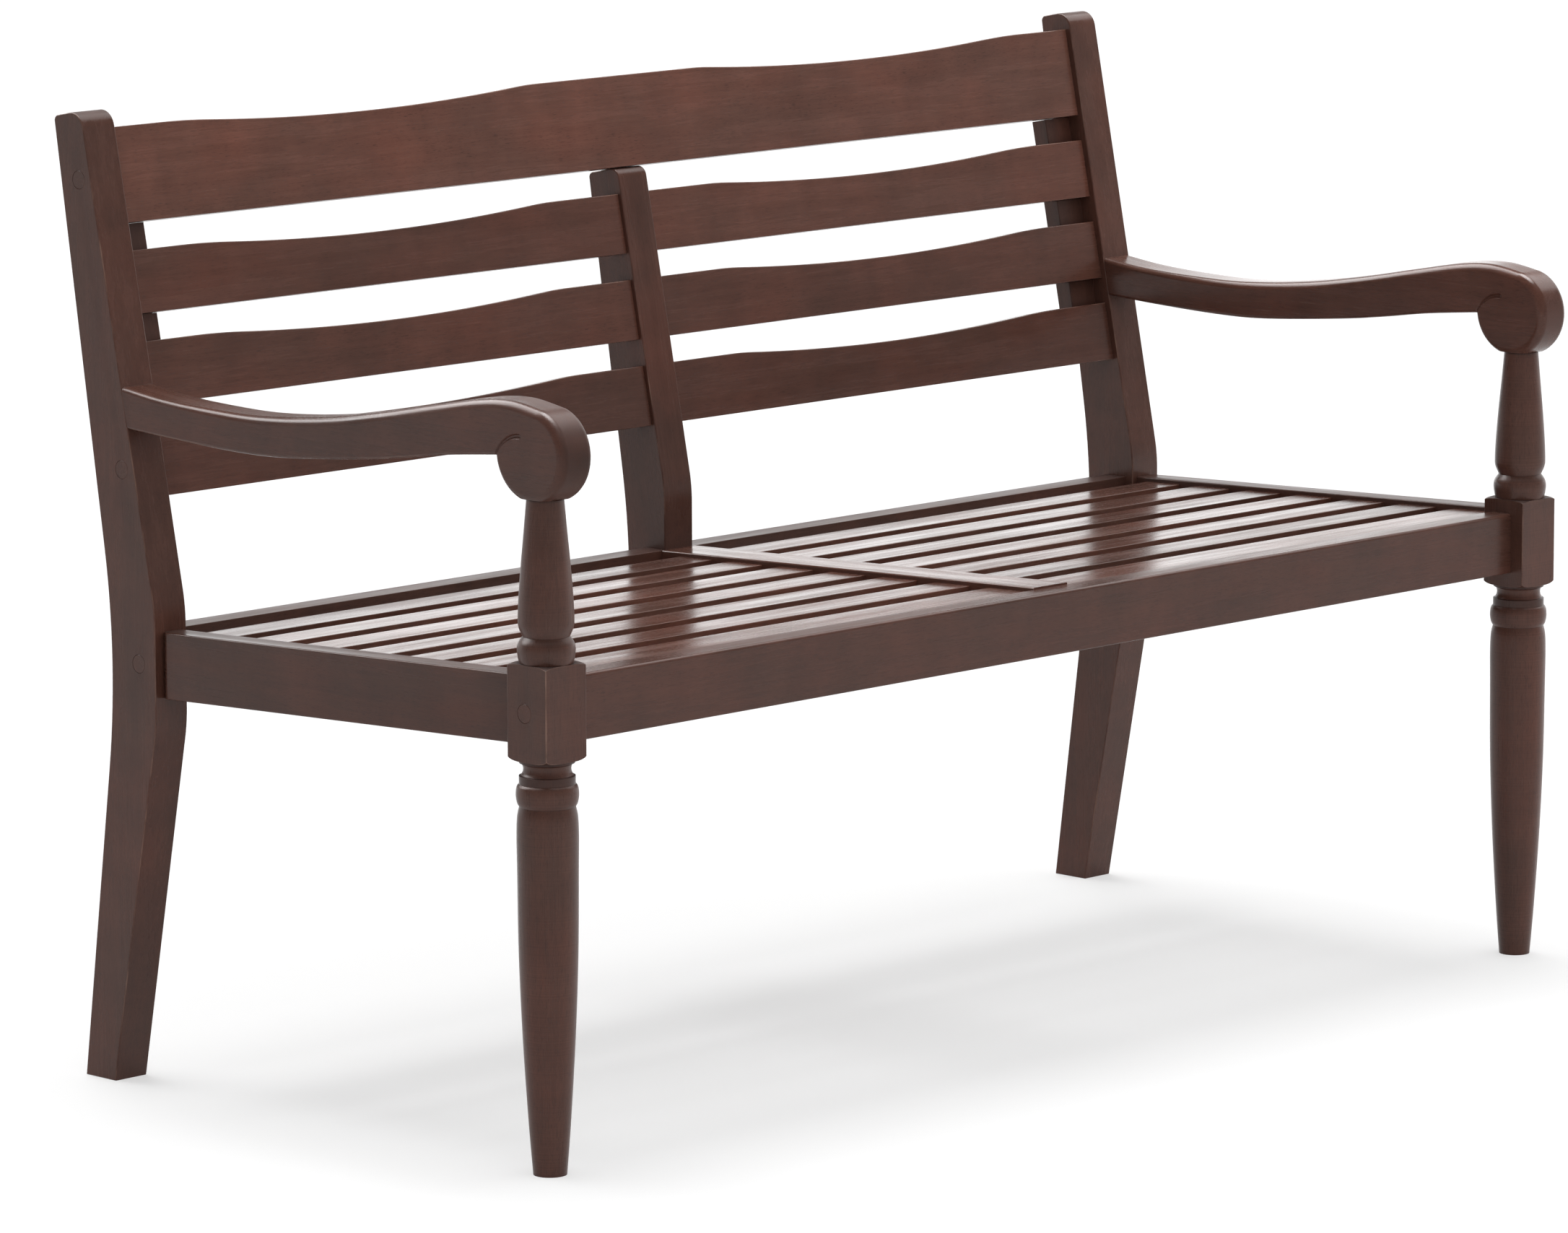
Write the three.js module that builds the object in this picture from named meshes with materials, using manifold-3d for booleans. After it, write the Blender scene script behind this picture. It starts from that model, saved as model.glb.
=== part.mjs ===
// A slatted wooden bench for two: turned front posts, scrolled arms, curved back posts, a pitched
// seat of slats and a raked back of dipped boards.
// Millimetres. +X is right seen from the front, +Y is to the back and +Z is up.
import * as THREE from "three";
import { mergeVertices, toCreasedNormals } from "three/addons/utils/BufferGeometryUtils.js";
import Module from "manifold-3d";

const degrees = THREE.MathUtils.degToRad;

// The bench as a whole
const benchWidth = 1341; // over the blocks of the front posts
const railTop = 434; // top edge of a side rail where it leaves the front post
const seatDepth = 483; // from the axis of the front posts to the face of the back posts
const seatPitch = degrees(2.15); // the seat falls to the back
const backRake = degrees(11.5); // the back leans to the back
const legSplay = degrees(10.8); // the back legs splay to the back
const clearance = 0.3; // between the halves of a joint, and between pieces that lie at a slope
const overrun = 12; // how far a cutter or a tenon runs past the face it starts from
const web = 2; // least wood left between two cuts

// Front posts
const blockWidth = 48;
const blockAboveRail = 8.5;
const blockBelowRail = 8;
const shoulderBelow = 4.7; // height of the turned shoulder under the block
const shoulderAbove = 3;
const vaseLength = 144; // from the block to the arm
const pinRadius = 8; // the pin turned on top, which the arm sits on
const pinLength = 25;

// Each stretch is one smooth curve through [share of the height, share of half the block's width].
const legShares = [
  [
    [0, 0.61], [0.13, 0.765], [0.33, 0.95], [0.53, 1.065],
    [0.73, 1.1], [0.81, 1.113], [0.855, 1.085], [0.878, 1.01],
  ],
  [[0.878, 1.01], [0.888, 1.09], [0.906, 1.13], [0.924, 1.1], [0.932, 1.02]],
  [[0.934, 1.012], [0.951, 1.012]],
  [[0.953, 0.94], [0.96, 0.88], [0.969, 0.86], [0.977, 0.89], [0.98, 0.94]],
  [[0.982, 1.02], [0.987, 1.02]],
];
const vaseShares = [
  [[0.0207, 0.975], [0.06, 1.02], [0.1, 1.045], [0.14, 1.0], [0.179, 0.846]],
  [[0.179, 0.846], [0.233, 0.98], [0.285, 1.005], [0.42, 0.97], [0.61, 0.883], [0.8, 0.777], [1, 0.67]],
];

// Back posts
const postThickness = 37.5;
const footDepth = 40;
const waistDepth = 51.5; // at the middle of the back rail, before the bend is rounded
const headDepth = 37;
const backHeight = 449; // from the bend above the seat to the head, along the rake
const landingAbove = 20; // upright face of the post above the side rail
const landingBelow = 25;
const frontBendRadius = 150;
const rearBendRadius = 700;
const headRadius = 16; // front corner of the head, in side view
const headRearRadius = 5;
const postEase = 1.2;

// Arms
const armWidth = 38;
const scrollRadius = 41;
const scrollFlat = 3.5; // cut off the bottom of the scroll to seat it on the post
const crownEase = 8;
const crownEaseAtPost = 4;
const crownEaseShare = 0.6; // share of the arm's length from which the crown's ease falls to it
const undersideEase = 3;
const armTenonThickness = 12;
const armTenonHeight = 20;
const armTenonLength = 15;
const armTenonShare = 0.75; // height of its middle, between the flat and the middle of the scroll
const scrollStart = degrees(105); // where the crown meets the scroll's circle
const scrollEnd = degrees(356); // where the underside leaves it
const grooveWidth = 4.6;
// [share of the arm's length, share of the scroll's radius over its centre], from the back
const crownShares = [
  [1.075, 0.36], [0.92, 0.11], [0.77, 0.02], [0.65, 0.03], [0.5, 0.195],
  [0.365, 0.4625], [0.235, 0.78], [0.125, 1.035], [0.05, 1.095],
];
// The same, from the front
const undersideShares = [
  [0.083, -0.07], [0.2, -0.225], [0.307, -0.425], [0.412, -0.59], [0.59, -0.79],
  [0.7, -0.825], [0.85, -0.765], [0.998, -0.66], [1.075, -0.59],
];
// The carved groove: its centre and radius as shares of the scroll's radius, and its arc
const grooveCentreShares = [0.31, -0.36];
const grooveRadiusShare = 0.75;
const grooveStart = degrees(14);
const grooveEnd = degrees(96);

// Rails
const frontRailThickness = 24;
const frontRailDepth = 57.5;
const frontRailInset = 14.6; // behind the face of the blocks
const frontRailDrop = 1.5; // its top under the top of the side rails
const frontRailRadius = 3;
const sideRailThickness = 25;
const sideRailDepth = 60;
const sideRailCorner = 10; // rounded upright corner at the back post
const backRailThickness = 25;
const backRailDepth = 60;
const backRailInset = 9.5; // behind the face of the back posts
const railEase = 1.5;
const tenonThickness = 10;
const tenonHeight = 38;
const stubLength = 12;

// Seat
const slatsPerHalf = 7;
const slatWidth = 43;
const frontSlatWidth = 55;
const slatThickness = 16;
const slatRecess = 4; // under the top of the side rails
const slatRadius = 2.5;
const cleatWidth = 20;
const cleatDepth = 20;
const dividerWidth = 45;
const dividerDepth = 45;
const dividerTenonWidth = 20;
const dividerTenonHeight = 25;

// Back
const backSlatRows = 3;
const boardThickness = 20;
const boardInset = 5.9; // behind the face of the back posts
const boardEase = 1.2;
const crestWidth = 86.3;
const headRoom = 17.2; // from the top of the crest rail to the head of the posts
const backSlatWidth = 56.8;
const backSlatPitch = 81.8;
const dipDepth = 8.5;
const dipFromPost = 93;
const dipFromCentre = 115;
const boardTenonThickness = 8;
const boardTenonWidth = 36;
const boardTenonLength = 10;
const centrePostWidth = 37;
const centrePostProud = 4; // in front of the boards
const centrePostRadius = 10;
const crestTenonWidth = 22;
const crestTenonLength = 20;
const battenWidth = 34;
const battenThickness = 18.6;
const battenHousing = 6.3; // how deep the slats are let into the battens
const battenRise = 8; // lower end of a batten above the lower edge of the lowest slat

// Bolts and plugs
const plugRadius = 8.3;
const plugLength = 8;
const plugChamfer = 0.6;
const shankRadius = 4;
const boltHeadRadius = 7;
const boltHeadHeight = 5.5;
const boltReach = 45; // into the end of the rail or board
const boltPoint = 8;
const boltPointRadius = 1;

// Facets
const turnedFaces = 24;
const plugFaces = 16;
const boltFaces = 12;
const hexFaces = 6;
const shoulderSteps = 4;
const filletSteps = 4;
const postSteps = 5;
const slatSteps = 2;
const armEaseSteps = 3;
const crownSteps = 20;
const scrollSteps = 20;
const undersideSteps = 14;
const grooveSteps = 10;
const dipSteps = 10;
const creaseAngle = degrees(35);

const woodFinish = { color: 0x4a2b23, roughness: 0.45, metalness: 0 };
const plugFinish = { color: 0x3f241d, roughness: 0.5, metalness: 0 };
const steelFinish = { color: 0x9a9c9e, roughness: 0.35, metalness: 1 };

// Places worked out from the sizes
const halfBlock = blockWidth / 2;
const sideX = benchWidth / 2 - halfBlock; // middle of a front post, arm, side rail and back post
const blockInner = sideX - halfBlock;
const blockOuter = sideX + halfBlock;
const postInner = sideX - postThickness / 2;
const postOuter = sideX + postThickness / 2;
const railInner = sideX - sideRailThickness / 2;
const railOuter = sideX + sideRailThickness / 2;
const legLength = railTop - sideRailDepth - blockBelowRail;
const blockTop = railTop + blockAboveRail;
const armFlat = blockTop + vaseLength;
const scrollHeight = armFlat + scrollRadius - scrollFlat;
const seatLine = (y) => railTop - Math.tan(seatPitch) * (y - halfBlock);
const frontRailFront = frontRailInset - halfBlock;
const frontRailBack = frontRailFront + frontRailThickness;
const frontRailMiddle = frontRailFront + frontRailThickness / 2;
const frontRailTop = railTop - frontRailDrop;
const frontRailCentre = frontRailTop - frontRailDepth / 2;
const backRailFront = seatDepth + backRailInset;
const backRailBack = backRailFront + backRailThickness;
const backRailMiddle = backRailFront + backRailThickness / 2;
const backRailTop = seatLine(backRailFront);
const backRailCentre = backRailTop - backRailDepth / 2;
const rakeHeight = seatLine(seatDepth) + landingAbove;
const landingBottom = seatLine(seatDepth) - sideRailDepth - landingBelow;
const footFront = seatDepth + Math.tan(legSplay) * landingBottom;
const armLength = seatDepth + Math.tan(backRake) * (scrollHeight - rakeHeight); // to the back post's face
const boardMiddle = boardInset + boardThickness / 2;
const boardBack = boardInset + boardThickness;
const crestTop = backHeight - headRoom;
const crestBottom = crestTop - crestWidth;
const backSlatBottom = (row) => crestBottom - (row + 1) * backSlatPitch;
const boreRadius = shankRadius + clearance;
const plugHoleRadius = plugRadius + clearance;
const plugHoleDepth = plugLength + clearance + boltHeadHeight;

// The back's own frame: X, then W out of the back of the boards, then V up along the rake
const rakeFrame = new THREE.Matrix4().makeRotationX(-backRake).setPosition(0, seatDepth, rakeHeight);

// [y, z] of a place in the back's own frame
function raked(v, w) {
  const place = new THREE.Vector3(0, w, v).applyMatrix4(rakeFrame);
  return [place.y, place.z];
}

// [v, w] in the back's own frame of a place [y, z]
function unraked(y, z) {
  const place = new THREE.Vector3(0, y, z).applyMatrix4(rakeFrame.clone().invert());
  return [place.z, place.y];
}

const wasm = await Module();
wasm.setup();

function solidOf(geometry) {
  const bare = geometry.clone();
  bare.deleteAttribute("normal");
  bare.deleteAttribute("uv");
  const merged = mergeVertices(bare);
  const vertProperties = merged.attributes.position.array;
  const triVerts = new Uint32Array(merged.index.array);
  return new wasm.Manifold(new wasm.Mesh({ numProp: 3, vertProperties, triVerts }));
}

function combined(operation, geometries) {
  const solid = geometries.map(solidOf).reduce((done, next) => done[operation](next));
  const { vertProperties, triVerts } = solid.getMesh();
  const geometry = new THREE.BufferGeometry();
  geometry.setAttribute("position", new THREE.BufferAttribute(new Float32Array(vertProperties), 3));
  geometry.setIndex(new THREE.BufferAttribute(new Uint32Array(triVerts), 1));
  return geometry;
}

const join = (...geometries) => combined("add", geometries);
const cut = (...geometries) => combined("subtract", geometries);
const common = (...geometries) => combined("intersect", geometries);

// How an outline of [a, b] points and its thickness t lie on the bench
const sideView = ([a, b, t]) => [t, a, b];
const frontView = ([a, b, t]) => [a, -t, b];
const planView = ([a, b, t]) => [a, b, t];

// A closed solid from an anticlockwise outline of [a, b, ease] points, run through its thickness.
// Where the points have an ease, the edges of both faces are rounded to it in so many steps.
function plank(outline, [low, high], view, steps = 1) {
  const count = outline.length;
  const flat = outline.map(([a, b]) => new THREE.Vector2(a, b));
  const inward = flat.map((here, i) => {
    const arriving = here.clone().sub(flat.at(i - 1)).normalize();
    const leaving = flat[(i + 1) % count].clone().sub(here).normalize();
    const along = arriving.clone().add(leaving).divideScalar(1 + arriving.dot(leaving));
    return new THREE.Vector2(-along.y, along.x);
  });
  const inset = (i, angle) => {
    const ease = outline[i][2] ?? 0;
    return flat[i].clone().addScaledVector(inward[i], ease * (1 - Math.cos(angle)));
  };
  const ring = (face, direction, angle) =>
    flat.map((_, i) => {
      const { x, y } = inset(i, angle);
      const ease = outline[i][2] ?? 0;
      return view([x, y, face + direction * ease * (1 - Math.sin(angle))]);
    });
  const quarter = Math.PI / 2;
  const stops = outline[0][2] ? steps : 0;
  const angles = Array.from({ length: stops + 1 }, (_, i) => quarter * (stops ? 1 - i / stops : 1));
  const rings = [
    ...angles.map((angle) => ring(low, 1, angle)),
    ...angles.toReversed().map((angle) => ring(high, -1, angle)),
  ];
  const index = [];
  for (let level = 0; level < rings.length - 1; level++) {
    for (let i = 0; i < count; i++) {
      const a = level * count + i;
      const b = level * count + ((i + 1) % count);
      index.push(a, b, b + count, a, b + count, a + count);
    }
  }
  const last = (rings.length - 1) * count;
  const face = flat.map((_, i) => inset(i, quarter));
  for (const [a, b, c] of THREE.ShapeUtils.triangulateShape(face, [])) {
    index.push(c, b, a, a + last, b + last, c + last);
  }
  const geometry = new THREE.BufferGeometry();
  geometry.setAttribute("position", new THREE.Float32BufferAttribute(rings.flat(2), 3));
  geometry.setIndex(index);
  return geometry;
}

const eased = (outline, ease) => outline.map(([a, b]) => [a, b, ease]);

// [a, b] points of an outline whose corners [a, b, radius] are rounded with true arcs
function filleted(corners, steps = filletSteps) {
  return corners.flatMap(([a, b, radius], i) => {
    if (!radius) return [[a, b]];
    const corner = new THREE.Vector2(a, b);
    const [before, after] = [corners.at(i - 1), corners[(i + 1) % corners.length]].map(([p, q]) =>
      new THREE.Vector2(p, q).sub(corner),
    );
    const half = Math.acos(before.clone().normalize().dot(after.clone().normalize())) / 2;
    const reach = Math.min(radius / Math.tan(half), before.length() / 2, after.length() / 2);
    const start = before.clone().setLength(reach);
    const end = after.clone().setLength(reach);
    const centre = start.clone().add(end).setLength(reach / Math.cos(half));
    const from = start.clone().sub(centre);
    const turn = Math.sign(before.cross(after)) * (2 * half - Math.PI);
    return Array.from({ length: steps + 1 }, (_, step) => {
      const spoke = from.clone().rotateAround(new THREE.Vector2(), (turn * step) / steps);
      return [corner.x + centre.x + spoke.x, corner.y + centre.y + spoke.y];
    });
  });
}

function box([x0, x1], [y0, y1], [z0, z1]) {
  return plank([[x0, y0], [x1, y0], [x1, y1], [x0, y1]], [z0, z1], planView);
}

// The hole for a tenon or a slat that fills the same ranges
const socket = (ranges) => box(...ranges.map(([low, high]) => [low - clearance, high + clearance]));

const about = (middle, size) => [middle - size / 2, middle + size / 2];

// A solid of revolution from [radius, height] points, closed on the axis
function revolved(points, faces) {
  const same = ([r, h], [nextR, nextH]) => r === nextR && h === nextH;
  const distinct = points.filter((point, i) => !i || !same(point, points[i - 1]));
  const profile = [[0, distinct[0][1]], ...distinct, [0, distinct.at(-1)[1]]];
  return new THREE.LatheGeometry(profile.map(([r, h]) => new THREE.Vector2(r, h)), faces);
}

const upright = (geometry) => geometry.rotateX(Math.PI / 2);
const alongX = (geometry) => geometry.rotateZ(-Math.PI / 2);

function mirrored(geometry) {
  const copy = geometry.clone().scale(-1, 1, 1);
  const index = copy.index.array;
  for (let i = 0; i < index.length; i += 3) [index[i], index[i + 1]] = [index[i + 1], index[i]];
  return copy;
}

const bothEnds = (geometry) => [geometry, mirrored(geometry)];

// Round hole along X from one face to another
function hole(radius, from, to, [y, z], faces) {
  return alongX(revolved([[radius, from], [radius, to]], faces)).translate(0, y, z);
}

// What a bolt and its plug need in the post: a wide hole for both and a narrow one for the shank
function boltHoles(outer, inner, place) {
  const seat = outer - plugHoleDepth;
  return [
    hole(plugHoleRadius, seat, outer + overrun, place, plugFaces),
    hole(boreRadius, inner - overrun, seat + overrun / 2, place, boltFaces),
  ];
}

// The hole that the same bolt needs in the end of a rail or board
function endHole(end, place) {
  return hole(boreRadius, end - boltReach - clearance, end + overrun, place, boltFaces);
}

// Turned stretches, from shares of a height and a radius
function turnedPoints(stretches, bottom, length, radius) {
  return stretches.flatMap((stretch) => {
    const sized = stretch.map(([up, out]) => new THREE.Vector2(out * radius, bottom + up * length));
    const smooth = sized.length > 2 ? new THREE.SplineCurve(sized).getPoints(sized.length + 2) : sized;
    return smooth.map(({ x, y }) => [x, y]);
  });
}

// The shoulder between a turned part and the corners of the block: a quarter of an ellipse
function shoulderPoints(cornerHeight, neckHeight) {
  const cornerRadius = halfBlock * Math.SQRT2 + clearance;
  const rim = new THREE.EllipseCurve(
    halfBlock, cornerHeight, cornerRadius - halfBlock, neckHeight - cornerHeight, 0, Math.PI / 2,
  );
  return rim.getPoints(shoulderSteps).map(({ x, y }) => [x, y]);
}

// Joints of the rails, as the ranges that each tenon fills
const frontRailTenon = [
  [blockInner - overrun, blockInner + stubLength],
  about(frontRailMiddle, tenonThickness),
  about(frontRailCentre, tenonHeight),
];
const backRailTenon = [
  [postInner - overrun, postInner + stubLength],
  about(backRailMiddle, tenonThickness),
  about(backRailCentre, tenonHeight),
];
const sideRailFrontTenon = [
  about(sideX, tenonThickness),
  [frontRailMiddle + boreRadius + web, halfBlock + overrun],
  about(railTop - sideRailDepth / 2, tenonHeight),
];
const sideRailBackTenon = [
  about(sideX, tenonThickness),
  [seatDepth - overrun, backRailMiddle - plugHoleRadius - web],
  about(seatLine(seatDepth) - sideRailDepth / 2, tenonHeight),
];
const armTenonCentre = armFlat + (scrollHeight - armFlat) * armTenonShare;
const armTenon = [
  about(sideX, armTenonThickness),
  [armLength - 2 * overrun, armLength + armTenonLength],
  about(armTenonCentre, armTenonHeight),
];
const dividerTenon = ([y0, y1], middle) => [
  about(0, dividerTenonWidth),
  [y0, y1],
  about(middle, dividerTenonHeight),
];
const dividerCentre = (y) => seatLine(y) - dividerDepth / 2;
const dividerFrontTenon = dividerTenon(
  [frontRailBack - stubLength, frontRailBack + overrun],
  dividerCentre(frontRailBack),
);
const dividerBackTenon = dividerTenon(
  [backRailFront - overrun, backRailFront + stubLength],
  dividerCentre(backRailFront),
);

// Joints of the back, in its own frame
const backSlatRange = (row) => [backSlatBottom(row), backSlatBottom(row) + backSlatWidth];
const backSlatMiddle = (row) => backSlatBottom(row) + backSlatWidth / 2;
const backSlatTenon = (row) => [
  [centrePostWidth / 2 - boardTenonLength, centrePostWidth / 2 + overrun],
  about(boardMiddle, boardTenonThickness),
  about(backSlatMiddle(row), boardTenonWidth),
];
const crestTenon = [
  about(0, crestTenonWidth),
  about(boardMiddle, boardTenonThickness),
  [crestBottom - overrun, crestBottom + crestTenonLength],
];
const backRows = Array.from({ length: backSlatRows }, (_, row) => row);
const lowestRow = backRows.at(-1);

// Where the bolts of each back post go, as [y, z]
const boltPlaces = {
  back_rail: [backRailMiddle, backRailCentre],
  back_slat: raked(backSlatMiddle(lowestRow), boardMiddle),
  crest_rail: raked(crestBottom + crestWidth / 2, boardMiddle),
};
const frontBoltPlace = [frontRailMiddle, frontRailCentre];

function frontPost() {
  const profile = [
    ...turnedPoints(legShares, 0, legLength, halfBlock),
    ...shoulderPoints(legLength, legLength - shoulderBelow).toReversed(),
    ...shoulderPoints(blockTop, blockTop + shoulderAbove),
    ...turnedPoints(vaseShares, blockTop, vaseLength, halfBlock),
    [pinRadius, armFlat],
    [pinRadius, armFlat + pinLength],
  ];
  const turned = upright(revolved(profile, turnedFaces)).translate(sideX, 0, 0);
  const heights = [legLength - shoulderBelow, blockTop + shoulderAbove];
  const blank = [about(sideX, 2 * blockWidth), about(0, 2 * blockWidth), heights];
  const block = [about(sideX, blockWidth), about(0, blockWidth), about(legLength, 2 * legLength)];
  const planed = cut(box(...blank), box(...block));
  return cut(
    turned,
    planed,
    socket(frontRailTenon),
    socket(sideRailFrontTenon),
    ...boltHoles(blockOuter, blockInner, frontBoltPlace),
  );
}

// Corners of the rear edge that the back posts and the centre post share, from the foot up to a height
function rearCorners(top) {
  const waist = [seatDepth + waistDepth, backRailCentre];
  const [waistV, waistW] = unraked(...waist);
  const depth = THREE.MathUtils.mapLinear(top, waistV, backHeight, waistW, headDepth);
  return [[footFront + footDepth, 0], [...waist, rearBendRadius], [...raked(top, depth), headRearRadius]];
}

function backPost() {
  const corners = [
    [footFront, 0],
    ...rearCorners(backHeight),
    [...raked(backHeight, 0), headRadius],
    [seatDepth, rakeHeight, frontBendRadius],
    [seatDepth, landingBottom, frontBendRadius],
  ];
  const blank = plank(eased(filleted(corners, postSteps), postEase), [postInner, postOuter], sideView);
  return cut(
    blank,
    socket(sideRailBackTenon),
    socket(backRailTenon),
    socket(armTenon),
    ...Object.values(boltPlaces).flatMap((place) => boltHoles(postOuter, postInner, place)),
  );
}

function armOutline() {
  const place = ([along, over]) => new THREE.Vector2(along * armLength, scrollHeight + over * scrollRadius);
  const scroll = new THREE.EllipseCurve(
    0, scrollHeight, scrollRadius, scrollRadius, scrollStart, scrollEnd,
  ).getPoints(scrollSteps);
  const crown = new THREE.SplineCurve([...crownShares.map(place), scroll[0]]).getPoints(crownSteps);
  const underside = new THREE.SplineCurve(undersideShares.map(place)).getPoints(undersideSteps);
  const bottom = Math.PI * 1.5;
  const scrollEases = scroll.map((_, i) => {
    const angle = THREE.MathUtils.mapLinear(i, 0, scroll.length - 1, scrollStart, scrollEnd);
    return THREE.MathUtils.mapLinear(Math.max(angle, bottom), bottom, scrollEnd, crownEase, undersideEase);
  });
  const crownEaseAt = (along) => THREE.MathUtils.mapLinear(
    THREE.MathUtils.clamp(along / armLength, crownEaseShare, 1), crownEaseShare, 1, crownEase, crownEaseAtPost,
  );
  return [
    ...crown.slice(0, -1).map(({ x, y }) => [x, y, crownEaseAt(x)]),
    ...scroll.map(({ x, y }, i) => [x, y, scrollEases[i]]),
    ...underside.map(({ x, y }) => [x, y, undersideEase]),
  ];
}

// A V groove, a square rod on its edge swept along an arc in the side face of the arm
function armGroove(x) {
  const reach = grooveWidth / 2;
  const corners = [[reach, 0], [0, reach], [-reach, 0], [0, -reach]];
  const section = new THREE.Shape(corners.map(([a, b]) => new THREE.Vector2(a, b)));
  const [along, over] = grooveCentreShares.map((share) => share * scrollRadius);
  const radius = grooveRadiusShare * scrollRadius;
  const arc = new THREE.EllipseCurve(along, scrollHeight + over, radius, radius, grooveStart, grooveEnd);
  const points = arc.getPoints(grooveSteps).map((point) => new THREE.Vector3(x, point.x, point.y));
  const extrudePath = new THREE.CatmullRomCurve3(points);
  return new THREE.ExtrudeGeometry(section, { steps: grooveSteps, bevelEnabled: false, extrudePath });
}

function arm() {
  const blank = plank(armOutline(), about(sideX, armWidth), sideView, armEaseSteps);
  const wide = about(sideX, 2 * armWidth);
  const behindFace = box(wide, [-clearance, armLength], about(0, 2 * armLength)).applyMatrix4(rakeFrame);
  const underFlat = box(wide, about(0, 4 * scrollRadius), [armFlat - scrollRadius, armFlat]);
  const [holeRadius, holeTop] = [pinRadius + clearance, armFlat + pinLength + clearance];
  const pin = revolved([[holeRadius, armFlat - overrun], [holeRadius, holeTop]], turnedFaces);
  const pinHole = upright(pin).translate(sideX, 0, 0);
  const grooves = about(sideX, armWidth).map(armGroove);
  return join(cut(blank, behindFace, underFlat, pinHole, ...grooves), box(...armTenon));
}

function frontRail() {
  const bottom = frontRailTop - frontRailDepth;
  const section = filleted([
    [frontRailFront, bottom, railEase],
    [frontRailBack, bottom],
    [frontRailBack, frontRailTop],
    [frontRailFront, frontRailTop, frontRailRadius],
  ]);
  const bar = plank(section, [-blockInner, blockInner], sideView);
  const joined = join(bar, ...bothEnds(box(...frontRailTenon)));
  return cut(joined, ...bothEnds(endHole(blockInner, frontBoltPlace)), socket(dividerFrontTenon));
}

function backRail() {
  const bottom = backRailTop - backRailDepth;
  const section = filleted([
    [backRailFront, bottom, railEase],
    [backRailBack, bottom, railEase],
    [backRailBack, backRailTop],
    [backRailFront, backRailTop],
  ]);
  const bar = plank(section, [-postInner, postInner], sideView);
  const joined = join(bar, ...bothEnds(box(...backRailTenon)));
  return cut(joined, ...bothEnds(endHole(postInner, boltPlaces.back_rail)), socket(dividerBackTenon));
}

// Side view of a bar that follows the seat's pitch, run past both of its ends
function pitchedOutline(front, back, depth) {
  const [start, end] = [front - overrun, back + overrun];
  return [
    [start, seatLine(start) - depth],
    [end, seatLine(end) - depth],
    [end, seatLine(end)],
    [start, seatLine(start)],
  ];
}

function sideRail() {
  const outline = eased(pitchedOutline(halfBlock, seatDepth, sideRailDepth), railEase);
  const bar = plank(outline, [railInner, railOuter], sideView);
  const plan = filleted([
    [railInner, halfBlock],
    [railOuter, halfBlock],
    [railOuter, seatDepth, sideRailCorner],
    [railInner, seatDepth],
  ]);
  const trimmed = common(bar, plank(plan, [legLength - sideRailDepth, blockTop], planView));
  return join(trimmed, box(...sideRailFrontTenon), box(...sideRailBackTenon));
}

function divider() {
  const outline = eased(pitchedOutline(frontRailBack, backRailFront, dividerDepth), railEase);
  const bar = plank(outline, about(0, dividerWidth), sideView);
  const heights = [legLength - dividerDepth, blockTop];
  const ends = box(about(0, 2 * dividerWidth), [frontRailBack, backRailFront], heights);
  return join(common(bar, ends), box(...dividerFrontTenon), box(...dividerBackTenon));
}

// The deck's own frame starts on the line of the side rails at the back of the blocks and follows
// the pitch. A place y on the bench, so far under that line, is this far along it:
const alongDeck = (y, under) => (y - halfBlock + under * Math.sin(seatPitch)) / Math.cos(seatPitch);
const slatUnder = slatRecess + slatThickness;
const deckFront = alongDeck(frontRailBack + clearance, slatUnder);
const deckBack = alongDeck(backRailFront, slatRecess);
const slatsRoom = deckBack - deckFront - frontSlatWidth - (slatsPerHalf - 1) * slatWidth;
const slatGap = slatsRoom / slatsPerHalf;
const secondSlat = deckFront + frontSlatWidth + slatGap;
const slatStart = (row) => (row ? secondSlat + (row - 1) * (slatWidth + slatGap) : deckFront);

function seatSlat(width) {
  const section = filleted([
    [0, -slatUnder],
    [width, -slatUnder],
    [width, -slatRecess, slatRadius],
    [0, -slatRecess, slatRadius],
  ], slatSteps);
  return plank(section, [dividerWidth / 2, railInner], sideView);
}

// The front slat is notched round the block of the post.
function frontSeatSlat() {
  const notchBack = alongDeck(halfBlock + clearance, slatUnder) - deckFront;
  const notch = box(
    [blockInner - clearance, railInner + overrun],
    [-overrun, notchBack],
    [-slatUnder - overrun, overrun],
  );
  return cut(seatSlat(frontSlatWidth), notch);
}

function cleat(range) {
  const front = alongDeck(halfBlock + clearance, slatUnder + cleatDepth);
  const back = alongDeck(seatDepth - clearance, slatUnder);
  return box(range, [front, back], [-slatUnder - cleatDepth, -slatUnder]);
}

// Points of one dip in a board's top edge, from its outer end to its inner one
function dip(top) {
  const outer = postInner - dipFromPost;
  const half = (outer - dipFromCentre) / 2;
  const radius = (half ** 2 + dipDepth ** 2) / (2 * dipDepth);
  const sweep = Math.asin(half / radius);
  return Array.from({ length: dipSteps + 1 }, (_, i) => {
    const angle = sweep * (1 - (2 * i) / dipSteps);
    const rise = radius * (1 - Math.cos(angle));
    return [dipFromCentre + half + radius * Math.sin(angle), top - dipDepth + rise];
  });
}

// A board of the back, trimmed to its ends so that only its long edges are eased
function board(outline, [from, to]) {
  const blank = plank(eased(outline, boardEase), [-boardBack, -boardInset], frontView);
  return common(blank, box([from, to], about(0, 4 * boardBack), about(0, 4 * backHeight)));
}

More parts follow.
